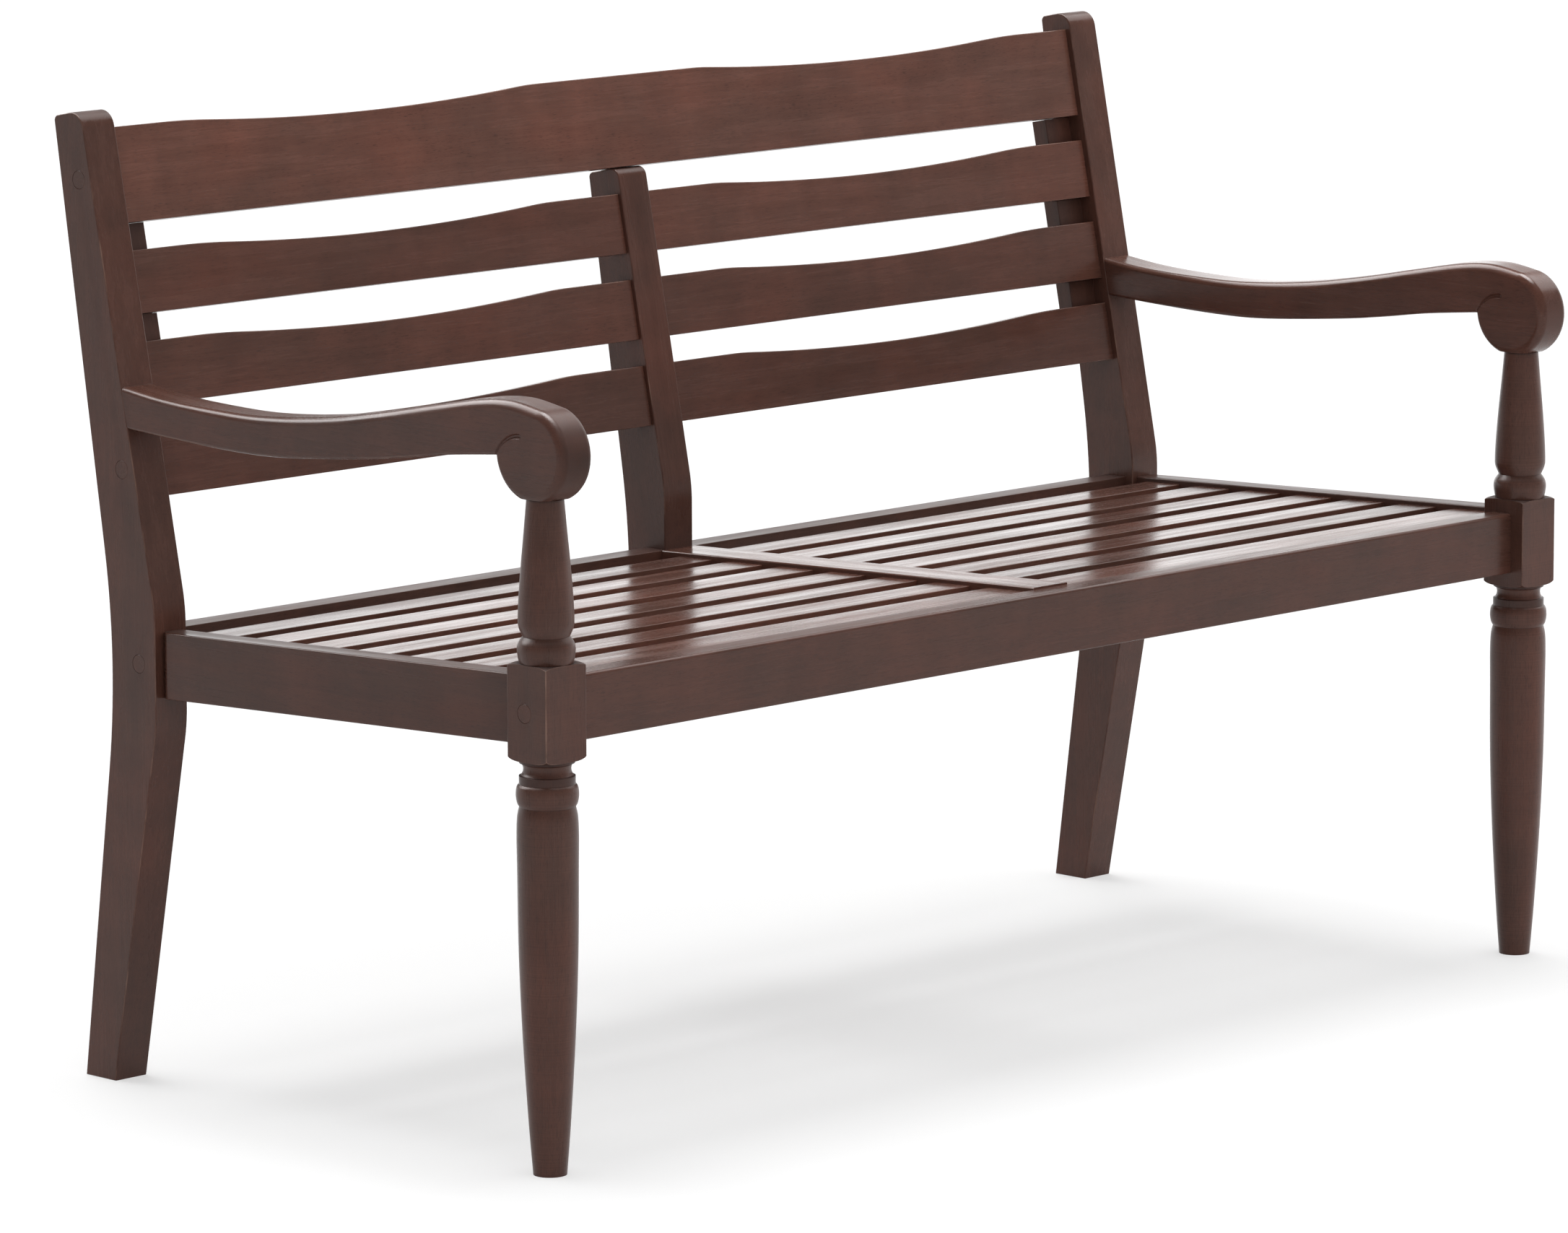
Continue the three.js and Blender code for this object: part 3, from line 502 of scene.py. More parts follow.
def object_of(name, data):
    """An object in the scene for a mesh, a lamp or a camera."""
    made = bpy.data.objects.new(name, data)
    bpy.context.scene.collection.objects.link(made)
    return made


def settled(source):
    """A plain mesh object of what an object's modifiers make, in place of that object."""
    graph = bpy.context.evaluated_depsgraph_get()
    mesh = bpy.data.meshes.new_from_object(source.evaluated_get(graph), depsgraph=graph)
    name = source.name
    bpy.data.objects.remove(source)
    return object_of(name, mesh)


def cuts(tools, place, operation="DIFFERENCE"):
    """A joiner's cuts, with tools that are moved to a place."""
    return [(moved(tool, place), operation) for tool in tools]


def carved(made, cutters):
    """The object after each cut, a (shape, operation)."""
    tools = []
    for shape, operation in cutters:
        tool = object_of("cutter", mesh_of("cutter", shape))
        tools.append(tool)
        cut = made.modifiers.new("cut", "BOOLEAN")
        cut.object, cut.operation, cut.solver = tool, operation, "EXACT"
    made = settled(made)
    for tool in tools:
        bpy.data.objects.remove(tool)
    return made


seeds = np.random.default_rng(11)
# How light each piece is: 0 is plain, and less is darker
# The back's boards get lighter towards the top: partly painted light, partly the stain of each board
TONES_WITH_PAINTED_LIGHT = {
    "crest_rail": 1.5, "back_slat_right_1": 1.1, "back_slat_left_1": 0.4, "back_slat_left_2": 0.5,
    "back_slat_right_2": 0.4, "back_slat_left_3": 0.1, "back_slat_right_3": 0.1,
    "back_centre_post": 0.0, "back_post_left": 0.1, "back_post_right": 0.5,
    "front_rail": 0.2, "arm_left": -0.1, "arm_right": 0.6,
    "front_post_right": 0.15, "front_post_left": 0.0, "seat_divider": 0.8,
}
FRONT_SLAT_TONE = 1.0
PLUG_TONE = 0.7
SEAT_TONES = (-0.3, 0.8)
OTHER_TONES = (-0.2, 0.2)
# How far from the middle of the timber a piece is cut, and a seat slat
TIMBER, SLAT_TIMBER = 4.0, 9.0
END_GRAIN_TONE = 0.9  # end grain drinks more of the stain
ALONG_X = Matrix.Identity(3)
ALONG_Y = Matrix.Rotation(-math.pi / 2, 3, "Z")
ALONG_Z = Matrix.Rotation(math.pi / 2, 3, "Y")


def grained(mesh, turn, tone=None):
    """Stores where each point lies in its timber: along the grain, across it, and through."""
    turn = np.array(turn)
    marked(mesh, "grain", rows_of(mesh.vertices, "co") @ turn.T + seeds.uniform(-TIMBER, TIMBER, 3))
    spread = seeds.uniform(*OTHER_TONES)
    end_grain = np.abs(rows_of(mesh.vertex_normals, "vector") @ turn[0])
    marked(mesh, "tone", (spread if tone is None else tone) - END_GRAIN_TONE * end_grain**3)


def piece(name, shape, turn, cutters=()):
    """A finished wooden piece of the bench that stands for the CAD node of its name."""
    made = object_of(name + "_wood", mesh_of(name, shape))
    if cutters:
        made = carved(made, cutters)
    grained(made.data, turn, TONES_WITH_PAINTED_LIGHT.get(name))
    dress(made, WOOD, [name])


def dress(made, material, nodes):
    """Gives a piece its finish and even shading, and hides the CAD nodes that it stands for."""
    mesh = made.data
    mesh.materials.clear()
    mesh.materials.append(bpy.data.materials[material])
    mesh.shade_smooth()
    mesh.set_sharp_from_angle(angle=EVEN_ANGLE)
    even = made.modifiers.new("even_shading", "WEIGHTED_NORMAL")
    even.keep_sharp = True
    made = settled(made)
    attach(made, ROOT)
    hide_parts(*nodes)


def pair(name, shape, turn, cutters=()):
    """The piece on the right and its mirror image on the left."""
    piece(name.replace("SIDE", "right"), shape, turn, cutters)
    flipped = [(mirrored(cutter), operation) for cutter, operation in cutters]
    piece(name.replace("SIDE", "left"), mirrored(shape), turn, flipped)


def material_of(name):
    """A new material and its empty node tree."""
    material = bpy.data.materials.new(name)
    material.use_nodes = True
    tree = material.node_tree
    tree.nodes.clear()
    return material, tree


# Patterns in the wood: how much longer than wide, levels of detail, and a shift to keep them apart.
# The pores are drawn wider than real ones, which would be too fine to show.
PATTERNS = {
    "figure": (14, 3, 0.0), "grain": (18, 3, 3.7), "blotch": (1.6, 3, 8.1),
    "pore_width": (12, 1, 5.2), "wipe": (0.5, 3, 2.9), "rub": (2, 4, 1.3),
}
LATHE_RING = 1.4 * MM  # the fine rings that the turning tool left
TONE_LIGHT = 0.4  # how much of the colour a tone of 1 adds
# How a pattern or a mark makes a share, a light or a roughness: from low, from high, to low, to high. The
# crease mark gives the dark in the turning's creases, which is partly painted shade
RANGES = {
    "pore": (0.58, 0.7, 0.0, 1.0), "dark": (0.3, 0.62, 0.0, 1.0), "thin": (0.4, 0.72, 0.0, 1.0),
    "grain_light": (0.3, 0.7, 0.92, 1.08), "wiped": (0.3, 0.7, 0.9, 1.1), "rings": (0.35, 0.65, -0.1, 0.07),
    "arris": (0.25, 0.95, 0.0, 1.0), "stretches": (0.45, 0.66, 0.0, 1.0), "crease_stain_and_shade": (0.0, -1.0, 0.0, 1.0),
    "dull": (0.35, 0.68, -0.03, 0.09), "thirsty": (0.0, -1.0, 0.0, 0.4),
}
GRAIN_ROUGH = (-0.02, 0.03)
NOISE_ROUGHNESS = 0.6
# Inputs of a Mix node that mixes colours
SHARE, UNDER, OVER = 0, 6, 7
# Shares of a colour laid over the wood; in the turning's creases that colour is partly painted shade
BLOTCH_SHARE, PORE_SHARE, RUBBED_SHARE, CREASE_STAIN_AND_SHADE_SHARE = 0.5, 0.5, 0.62, 0.6
# What roughness the pores and the marks of the lathe add, and how deep the grain and the pores are
PORE_ROUGH, LATHE_ROUGH = 0.04, 0.06
GRAIN_RELIEF, PORE_RELIEF, RELIEF = 0.5, 0.6, 0.06 * MM
BUMP_STRENGTH = 0.1
SEAL_IOR = 1.33
CRYSTAL = MM / 0.9  # of the zinc plating, coarser than real ones so that they show
ZINC_ROUGH = (0.28, 0.42)


def hardwood(name, place_of):
    """Stained hardwood: place_of adds the nodes that give a point's place in the timber.

    Dark and mid stain follow the figure, thin red stain lies in blotches, and the grain, the tone of the
    board, the wiping cloth and the lathe make it lighter or darker; on the back the tone is partly painted
    light, lighter towards the top. Pores hold dark stain, and the turning's creases are darkened with it,
    partly as painted shade. Arrises are rubbed paler. The seal is duller where the figure is pale and
    where the tone is dark.
    """
    finish = bpy.context.scene.bench_finish
    material, tree = material_of(name)
    node = partial(add, tree)
    place, tone, worn, lathe = place_of(tree)

    def pattern(kind):
        size = getattr(finish, kind)
        stretch, detail, shift = PATTERNS[kind]
        scale = (1 / (size * stretch), 1 / size, 1 / size)
        scaled = node("ShaderNodeVectorMath", (place, scale), operation="MULTIPLY")
        shifted = node("ShaderNodeVectorMath", (scaled, (shift,) * 3), operation="ADD")
        inputs = {"Vector": shifted, "Scale": 1.0, "Detail": detail, "Roughness": NOISE_ROUGHNESS}
        return node("ShaderNodeTexNoise", inputs)

    figure, grain, blotch = pattern("figure"), pattern("grain"), pattern("blotch")
    pore = node("ShaderNodeMapRange", (pattern("pore_width"), *RANGES["pore"]))
    dark = node("ShaderNodeMapRange", (figure, *RANGES["dark"]))
    thin = node("ShaderNodeMapRange", (blotch, *RANGES["thin"]))
    thin = node("ShaderNodeMath", (thin, BLOTCH_SHARE), operation="MULTIPLY")
    body = finish.stain_dark
    for share, stain in ((dark, finish.stain), (thin, finish.stain_red)):
        body = node("ShaderNodeMix", {SHARE: share, UNDER: body, OVER: stain}, data_type="RGBA")

    light = node("ShaderNodeMapRange", (grain, *RANGES["grain_light"]))
    toned = node("ShaderNodeMath", (tone, TONE_LIGHT, 1.0), operation="MULTIPLY_ADD")
    wiped = node("ShaderNodeMapRange", (pattern("wipe"), *RANGES["wiped"]))
    along = node("ShaderNodeVectorMath", (place, (1 / LATHE_RING, 0, 0)), operation="MULTIPLY")
    rings = node("ShaderNodeTexNoise", {"Vector": along, "Scale": 1.0, "Detail": 2.0})
    rings = node("ShaderNodeMapRange", (rings, *RANGES["rings"]))
    turned = node("ShaderNodeMath", (lathe, rings, 1.0), operation="MULTIPLY_ADD")
    for factor in (toned, wiped, turned):
        light = node("ShaderNodeMath", (light, factor), operation="MULTIPLY")
    grey = node("ShaderNodeCombineColor", (light, light, light))
    inputs = {SHARE: 1.0, UNDER: body, OVER: grey}
    body = node("ShaderNodeMix", inputs, data_type="RGBA", blend_type="MULTIPLY")

    arris = node("ShaderNodeMapRange", (worn, *RANGES["arris"]))
    stretches = node("ShaderNodeMapRange", (pattern("rub"), *RANGES["stretches"]))
    rubbed = node("ShaderNodeMath", (arris, stretches), operation="MULTIPLY")
    # Below 0 the worn mark is a crease of the turning, darkened with the pore colour: partly settled stain,
    # partly painted shade
    crease_stain_and_shade = node("ShaderNodeMapRange", (worn, *RANGES["crease_stain_and_shade"]))
    for where, most, stain in (
        (pore, PORE_SHARE, finish.pore),
        (rubbed, RUBBED_SHARE, finish.worn),
        (crease_stain_and_shade, CREASE_STAIN_AND_SHADE_SHARE, finish.pore),
    ):
        share = node("ShaderNodeMath", (where, most), operation="MULTIPLY")
        body = node("ShaderNodeMix", {SHARE: share, UNDER: body, OVER: stain}, data_type="RGBA")

    span = (finish.roughness + more for more in GRAIN_ROUGH)
    rough = node("ShaderNodeMapRange", (grain, *RANGES["grain_light"][:2], *span))
    open_pore = node("ShaderNodeMath", (pore, PORE_ROUGH), operation="MULTIPLY")
    dull = node("ShaderNodeMapRange", (figure, *RANGES["dull"]))
    thirsty = node("ShaderNodeMapRange", (tone, *RANGES["thirsty"]))
    for more in (open_pore, dull, thirsty):
        rough = node("ShaderNodeMath", (rough, more), operation="ADD")
    rough = node("ShaderNodeMath", (lathe, LATHE_ROUGH, rough), operation="MULTIPLY_ADD")
    ridge = node("ShaderNodeMath", (grain, GRAIN_RELIEF), operation="MULTIPLY")
    pit = node("ShaderNodeMath", (pore, PORE_RELIEF), operation="MULTIPLY")
    height = node("ShaderNodeMath", (ridge, pit), operation="SUBTRACT")
    bump = node("ShaderNodeBump", {"Height": height, "Strength": BUMP_STRENGTH, "Distance": RELIEF})
    inputs = {"Base Color": body, "Roughness": rough, "Normal": bump, "IOR": SEAL_IOR}
    node("ShaderNodeOutputMaterial", {"Surface": node("ShaderNodeBsdfPrincipled", inputs)})
    return material


def from_timber(tree):
    """A finished piece carries its own place in the timber."""
    names = ("grain", "tone", "worn", "lathe")
    grain, *shares = (add(tree, "ShaderNodeAttribute", attribute_name=name) for name in names)
    return grain.outputs["Vector"], *(share.outputs["Fac"] for share in shares)


def from_bench(tree):
    """A cleat runs to the back, so its grain follows the bench's own Y."""
    coords = add(tree, "ShaderNodeTexCoord").outputs["Object"]
    turned = add(tree, "ShaderNodeMapping", {"Vector": coords, "Rotation": (0, 0, -math.pi / 2)})
    none = add(tree, "ShaderNodeValue")
    return turned, none, none, none


class BENCH_OT_materials(bpy.types.Operator):
    """Make the finishes of the wood and the steel"""

    bl_idname = "bench.materials"
    bl_label = "Finishes"

    def execute(self, context):
        # Plantation hardwood, planed or turned, under a dark red-brown wiping stain and a satin seal:
        # blotchy, with fine streaks and dark pores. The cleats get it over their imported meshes, and the
        # plugs show its end grain.
        hardwood(WOOD, from_timber)
        cleat_wood = hardwood(CLEAT_WOOD, from_bench)
        hardwood(PLUG_WOOD, from_timber)
        # Zinc plated steel: bright grey, dulled by the plating's fine crystals
        steel, tree = material_of(STEEL)
        node = partial(add, tree)
        coords = node("ShaderNodeTexCoord").outputs["Object"]
        crystals = node("ShaderNodeTexNoise", {"Vector": coords, "Scale": 1 / CRYSTAL})
        rough = node("ShaderNodeMapRange", (crystals, 0.0, 1.0, *ZINC_ROUGH))
        zinc = context.scene.bench_finish.steel
        inputs = {"Base Color": zinc, "Metallic": 1.0, "Roughness": rough}
        node("ShaderNodeOutputMaterial", {"Surface": node("ShaderNodeBsdfPrincipled", inputs)})
        for part, material in (("_bolt_", steel), ("cleat", cleat_wood)):
            for name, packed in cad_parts.items():
                if part in name:
                    packed.data.materials.clear()
                    packed.data.materials.append(material)
        return {"FINISHED"}


class BENCH_OT_front_posts(bpy.types.Operator):
    """Turn the front posts"""

    bl_idname = "bench.front_posts"
    bl_label = "Front posts"

    def execute(self, context):
        sizes, _, at = places()
        half = at.half
        # Turns round the post, closer together at the block's corners, and the block's radius at each
        face = np.linspace(-math.pi / 4, math.pi / 4, ROUND_STEPS + 1)[1:-1]
        quarter = np.concatenate([face, math.pi / 4 + CORNER_TURNS])
        turns = np.sort(np.concatenate([quarter + k * math.pi / 2 for k in range(4)]))
        lean = np.abs((turns + math.pi / 4) % (math.pi / 2) - math.pi / 4)
        inner = half - ARRIS
        flat = half / np.cos(lean)
        rounding = np.maximum(ARRIS**2 - (inner * (np.cos(lean) - np.sin(lean))) ** 2, 0)
        arc = inner * (np.cos(lean) + np.sin(lean)) + np.sqrt(rounding)
        on_face = half * np.tan(lean) <= inner
        square = np.where(on_face, flat, arc)
        slim, wide = half - NECK_INSET, half * math.sqrt(2)
        meets = np.arccos(np.clip((square - slim) / (wide - slim), 0, 1))
        rising = np.linspace(0, 1, SHOULDER_STEPS + 1)
        rings, worn = [], []

        def ring(radius, height, wear_and_crease_shade=0.0):
            radius, height = np.broadcast_to(radius, len(turns)), np.broadcast_to(height, len(turns))
            rings.append(np.column_stack([at.side + radius * np.cos(turns), radius * np.sin(turns), height]))
            worn.append(np.broadcast_to(wear_and_crease_shade, len(turns)))

        def turned(stretches, bottom, height):
            for stretch in stretches:
                smooth = len(stretch) > 2
                points = spline(stretch, TURNED_STEPS * len(stretch)) if smooth else np.array(stretch)
                for step, (up, out) in enumerate(points):
                    # Where one turned stretch meets the next, the crease is marked to be darkened: partly
                    # settled stain, partly painted shade
                    crease_stain_and_shade = step in (0, len(points) - 1) and 0 < up < 1
                    ring(out * half, bottom + up * height, -1.0 if crease_stain_and_shade else 0.0)

        def bent(corner_height, neck_height, bend):
            return corner_height + (neck_height - corner_height) * np.sin(bend)

        def shoulder(corner_height, neck_height, shares):
            """From the neck to the block's faces, or back: a crease at the neck, darkened partly as painted
            shade, and worn corners.
            """
            for share in shares:
                bend = math.pi / 2 + (meets - math.pi / 2) * share
                wear_and_crease_shade = {0: -1.0, 1: 1.0}.get(share, 0.0)
                ring(slim + (wide - slim) * np.cos(bend), bent(corner_height, neck_height, bend), wear_and_crease_shade)

        below, above = at.leg - SHOULDER_BELOW, at.block_top + SHOULDER_ABOVE
        turned(LEG_SHARES, 0, at.leg)
        shoulder(at.leg, below, rising)
        ring(square, bent(at.leg, below, meets) + WORN_BAND, ~on_face)
        ring(square, bent(at.block_top, above, meets) - WORN_BAND, ~on_face)
        shoulder(at.block_top, above, rising[::-1])
        turned(VASE_SHARES, at.block_top, sizes.vase)
        ring(PIN_RADIUS, at.arm_flat)
        ring(PIN_RADIUS, at.arm_flat + PIN_LENGTH)
        shape = moved(loft(rings, np.concatenate(worn)), at.world)
        hole = plug_hole(at.block_outer, at.front_bolt)
        pair("front_post_SIDE", shape, ALONG_Z, cuts([hole], at.world))
        for side in ("left", "right"):
            mesh = bpy.data.objects[f"front_post_{side}_wood"].data
            height = rows_of(mesh.vertices, "co")[:, 2]
            marked(mesh, "lathe", (height < at.leg) | (height > at.block_top))
        return {"FINISHED"}


def plug_hole(outer, place):
    """The hole for a plug, in from an outer face at [y, z]."""
    back = bpy.context.scene.bench_back
    return rod(back.plug + PLUG_GAP, outer - PLUG_DEPTH, outer + OVERRUN, place)


def rear_corners(sizes, at, top):
    """Corners of the rear edge that the back posts and the centre post share, up to a height."""
    waist = (sizes.seat_depth + sizes.waist, at.back_rail_centre)
    waist_v, waist_w = at.unraked(*waist)
    share = (top - waist_v) / (sizes.back_height - waist_v)
    depth = waist_w + share * (sizes.head - waist_w)
    head = at.raked(top, depth)
    return [(at.foot_front + sizes.foot, 0), (*waist, REAR_BEND), (*head, HEAD_REAR_RADIUS)]


def bolt_places(back, at):
    """Where the bolts of a back post go, as [y, z] on the bench."""
    return [
        [at.back_rail_front + BACK_RAIL / 2, at.back_rail_centre],
        at.raked(at.slat_bottoms[-1] + back.slat / 2, at.board_middle),
        at.raked(at.crest_bottom + back.crest / 2, at.board_middle),
    ]


class BENCH_OT_back_posts(bpy.types.Operator):
    """Saw the curved back posts"""

    bl_idname = "bench.back_posts"
    bl_label = "Back posts"

    def execute(self, context):
        sizes, back, at = places()
        corners = [
            (at.foot_front, 0),
            *rear_corners(sizes, at, sizes.back_height),
            (*at.raked(sizes.back_height, 0), HEAD_RADIUS),
            (sizes.seat_depth, at.bend, FRONT_BEND),
            (sizes.seat_depth, at.landing, FRONT_BEND),
        ]
        thickness = (at.post_inner, at.post_outer)
        shape = plank(filleted(corners, BEND_STEPS), thickness, SIDE_VIEW, sizes.post_ease)
        holes = [plug_hole(at.post_outer, place) for place in bolt_places(back, at)]
        pair("back_post_SIDE", moved(shape, at.world), ALONG_Z, cuts(holes, at.world))
        return {"FINISHED"}


class BENCH_OT_arms(bpy.types.Operator):
    """Saw the arms, round their crowns and carve the scrolls"""

    bl_idname = "bench.arms"
    bl_label = "Arms"

    def execute(self, context):
        sizes, _, at = places()
        stretch = np.array([at.arm_length, sizes.scroll])
        lift = np.array([0, at.scroll_height])
        turns = np.linspace(SCROLL_START, SCROLL_END, SCROLL_STEPS + 1)
        scroll = np.column_stack([np.cos(turns), np.sin(turns)]) * sizes.scroll + lift
        crown = spline([*(np.array(CROWN_SHARES) * stretch + lift), scroll[0]], CROWN_STEPS)[:-1]
        underside = spline(np.array(UNDERSIDE_SHARES) * stretch + lift, UNDERSIDE_STEPS)
        bottom = math.pi * 1.5
        share = (np.maximum(turns, bottom) - bottom) / (SCROLL_END - bottom)
        rear = np.clip((crown[:, 0] / at.arm_length - CROWN_EASE_SHARE) / (1 - CROWN_EASE_SHARE), 0, 1)
        eases = np.concatenate([
            sizes.crown_ease + rear * (sizes.crown_ease_at_post - sizes.crown_ease),
            sizes.crown_ease + share * (UNDERSIDE_EASE - sizes.crown_ease),
            np.full(len(underside), UNDERSIDE_EASE),
        ])
        span = about(at.side, sizes.arm)
        outline = np.vstack([crown, scroll, underside])
        shape = plank(outline, span, SIDE_VIEW, eases, CROWN_EDGE_STEPS)
        wide = about(at.side, 2 * sizes.arm)
        behind = moved(box(wide, (-SLACK, at.arm_length), about(0, 2 * at.arm_length)), at.rake)
        flat = box(wide, about(0, 4 * sizes.scroll), (at.arm_flat - sizes.scroll, at.arm_flat))
        tools = [behind, flat, *(self.groove(x, sizes, at) for x in span)]
        pair("arm_SIDE", moved(shape, at.world), ALONG_Y, cuts(tools, at.world))
        return {"FINISHED"}

    def groove(self, x, sizes, at):
        """A gouge's cut along an arc in the side of the arm, deep at its upper end and fading out."""
        centre = np.array(GROOVE_CENTRE) * sizes.scroll + [0, at.scroll_height]
        rings = []
        for turn in np.linspace(*GROOVE_ARC, GROOVE_STEPS + 1):
            out = np.array([math.cos(turn), math.sin(turn)])
            share = (turn - GROOVE_ARC[0]) / (GROOVE_ARC[1] - GROOVE_ARC[0])
            past = max(0.0, share - GROOVE_TIP[0]) / GROOVE_TIP[1]
            tip = math.sqrt(max(0.0, 1 - past**2))
            width = GROOVE_WIDTH * (GROOVE_FADE + (1 - GROOVE_FADE) * share) * tip
            deep, wide = (GROOVE_SECTION * max(width / 2, GROOVE_LEAST)).T
            middle = centre + out * GROOVE_RADIUS * sizes.scroll
            rings.append(np.column_stack([x + deep, middle + out * wide[:, None]]))
        points, faces, worn = loft(rings)
        return points, [face[::-1] for face in faces], worn


class BENCH_OT_rails(bpy.types.Operator):
    """Plane the rails and the divider of the seat"""

    bl_idname = "bench.rails"
    bl_label = "Rails"

    def pitched(self, at, front, back, depth):
        """Outline of a bar under the seat's top line, run over at both ends."""
        start, end = front - OVERRUN, back + OVERRUN
        return [
            (start, at.seat_line(start) - depth), (end, at.seat_line(end) - depth),
            (end, at.seat_line(end)), (start, at.seat_line(start)),
        ]

    def execute(self, context):
        sizes, _, at = places()
        for name, end, corners in (
            ("front_rail", at.block_inner, [
                (at.front_rail_front, at.front_rail_bottom, RAIL_EASE),
                (at.front_rail_back, at.front_rail_bottom, FINE_EASE),
                (at.front_rail_back, at.front_rail_top, FINE_EASE),
                (at.front_rail_front, at.front_rail_top, FRONT_RAIL_RADIUS),
            ]),
            ("back_rail", at.post_inner, [
                (at.back_rail_front, at.back_rail_bottom, RAIL_EASE),
                (at.back_rail_back, at.back_rail_bottom, RAIL_EASE),
                (at.back_rail_back, at.back_rail_top, FINE_EASE),
                (at.back_rail_front, at.back_rail_top, FINE_EASE),
            ]),
        ):
            bar = plank(filleted(corners), (-end, end), SIDE_VIEW)
            piece(name, moved(bar, at.world), ALONG_X)
        outline = self.pitched(at, at.half, sizes.seat_depth, sizes.rail_depth)
        bar = plank(outline, (at.rail_inner, at.rail_outer), SIDE_VIEW, RAIL_EASE)
        plan = filleted([
            (at.rail_inner, at.half), (at.rail_outer, at.half),
            (at.rail_outer, sizes.seat_depth, RAIL_CORNER), (at.rail_inner, sizes.seat_depth),
        ], RAIL_CORNER_STEPS)
        ends = plank(plan, (at.leg - sizes.rail_depth, at.block_top), PLAN_VIEW)
        pair("side_rail_SIDE", moved(bar, at.world), ALONG_Y, cuts([ends], at.world, "INTERSECT"))
        outline = self.pitched(at, at.front_rail_back, at.back_rail_front, sizes.divider)
        bar = plank(outline, about(0, sizes.divider), SIDE_VIEW, RAIL_EASE)
        ends = box(
            about(0, 2 * sizes.divider), (at.front_rail_back, at.back_rail_front),
            (at.leg - sizes.divider, at.block_top),
        )
        piece("seat_divider", moved(bar, at.world), ALONG_Y, cuts([ends], at.world, "INTERSECT"))
        return {"FINISHED"}


def dip(at, back, top):
    """Points of one dip in a board's top edge, from its outer end to its inner one.

    The dip is a shallow arc, and sanding has eased the corners at its ends, the outer one more.
    """
    outer = at.post_inner - back.dip_from_post
    half = (outer - back.dip_from_centre) / 2
    middle = outer - half
    across = np.linspace(middle + half + DIP_EASE[1], middle - half - DIP_EASE[0], DIP_STEPS + 1)
    reach = np.interp(across, [middle - half, middle + half], DIP_EASE)
    kernel = np.linspace(-1, 1, DIP_EASE_STEPS + 1)
    shares = (across[:, None] + reach[:, None] * kernel - middle) / half
    return np.column_stack([across, top - back.dip * np.maximum(1 - shares**2, 0).mean(1)])


class BENCH_OT_boards(bpy.types.Operator):
    """Saw the crest rail and the slats of the back, with a dip in each top edge"""

    bl_idname = "bench.boards"
    bl_label = "Boards of the back"

    def execute(self, context):
        _, back, at = places()
        upright = at.world @ at.rake
        rake = upright.to_3x3().inverted()

        def sawn(outline, bottom):
            eases = np.where(outline[:, 1] > bottom, back.ease, BOTTOM_EASE_SHARE * back.ease)
            return moved(plank(outline, (-at.board_back, -back.inset), FRONT_VIEW, eases), upright)

        start, end = back.centre_post / 2, at.post_inner
        right = dip(at, back, at.crest_top)
        outline = np.vstack([
            [(-end, at.crest_bottom), (end, at.crest_bottom), (end, at.crest_top)],
            right, right[::-1] * [-1, 1], [(-end, at.crest_top)],
        ])
        piece("crest_rail", sawn(outline, at.crest_bottom), rake)
        for row, bottom in enumerate(at.slat_bottoms):
            top = bottom + back.slat
            outline = np.vstack([
                [(start, bottom), (end, bottom), (end, top)], dip(at, back, top), [(start, top)],
            ])
            pair(f"back_slat_SIDE_{row + 1}", sawn(outline, bottom), rake)
        return {"FINISHED"}


class BENCH_OT_back_frame(bpy.types.Operator):
    """Saw the centre post and the battens behind the slats"""

    bl_idname = "bench.back_frame"
    bl_label = "Centre post and battens"

    def execute(self, context):
        sizes, back, at = places()
        front = back.inset - CENTRE_PROUD
        top = at.crest_bottom - SLACK
        rake = sizes.back_rake
        bend = at.bend + (BACK_RAIL_INSET - front / math.cos(rake)) / math.tan(rake)
        corners = [
            (at.back_rail_front, 0),
            *rear_corners(sizes, at, top),
            (*at.raked(top, front), CENTRE_RADIUS),
            (at.back_rail_front, bend, FRONT_BEND),
        ]
        shape = plank(filleted(corners, BEND_STEPS), about(0, back.centre_post), SIDE_VIEW, sizes.post_ease)
        wide = about(0, 2 * back.centre_post)
        below = box(wide, (0, at.foot_front + 2 * sizes.foot), (-OVERRUN, at.back_rail_bottom))
        notch = box(wide, (0, at.back_rail_back), (-2 * OVERRUN, at.back_rail_top))
        upright = at.world @ at.rake
        along = ALONG_Z @ upright.to_3x3().inverted()
        piece("back_centre_post", moved(shape, at.world), along, cuts([below, notch], at.world))
        near, far = about(at.board_back - HOUSING + back.batten_thickness / 2, back.batten_thickness)
        inner = at.post_inner - back.batten
        section = filleted([
            (inner, near, BATTEN_EASE), (at.post_inner, near),
            (at.post_inner, far), (inner, far, BATTEN_EASE),
        ])
        ends = (at.slat_bottoms[-1] + BATTEN_RISE, at.crest_bottom - SLACK)
        bar = plank(section, ends, PLAN_VIEW)
        wide = (inner - OVERRUN, at.post_inner + OVERRUN)
        deep = (back.inset - OVERRUN, at.board_back + SLACK)
        housings = [
            box(wide, deep, (bottom - SLACK, bottom + back.slat + SLACK)) for bottom in at.slat_bottoms
        ]
        pair("back_batten_SIDE", moved(bar, upright), along, cuts(housings, upright))
        return {"FINISHED"}


SOCKETS = {int: "NodeSocketInt", float: "NodeSocketFloat", tuple: "NodeSocketVector"}


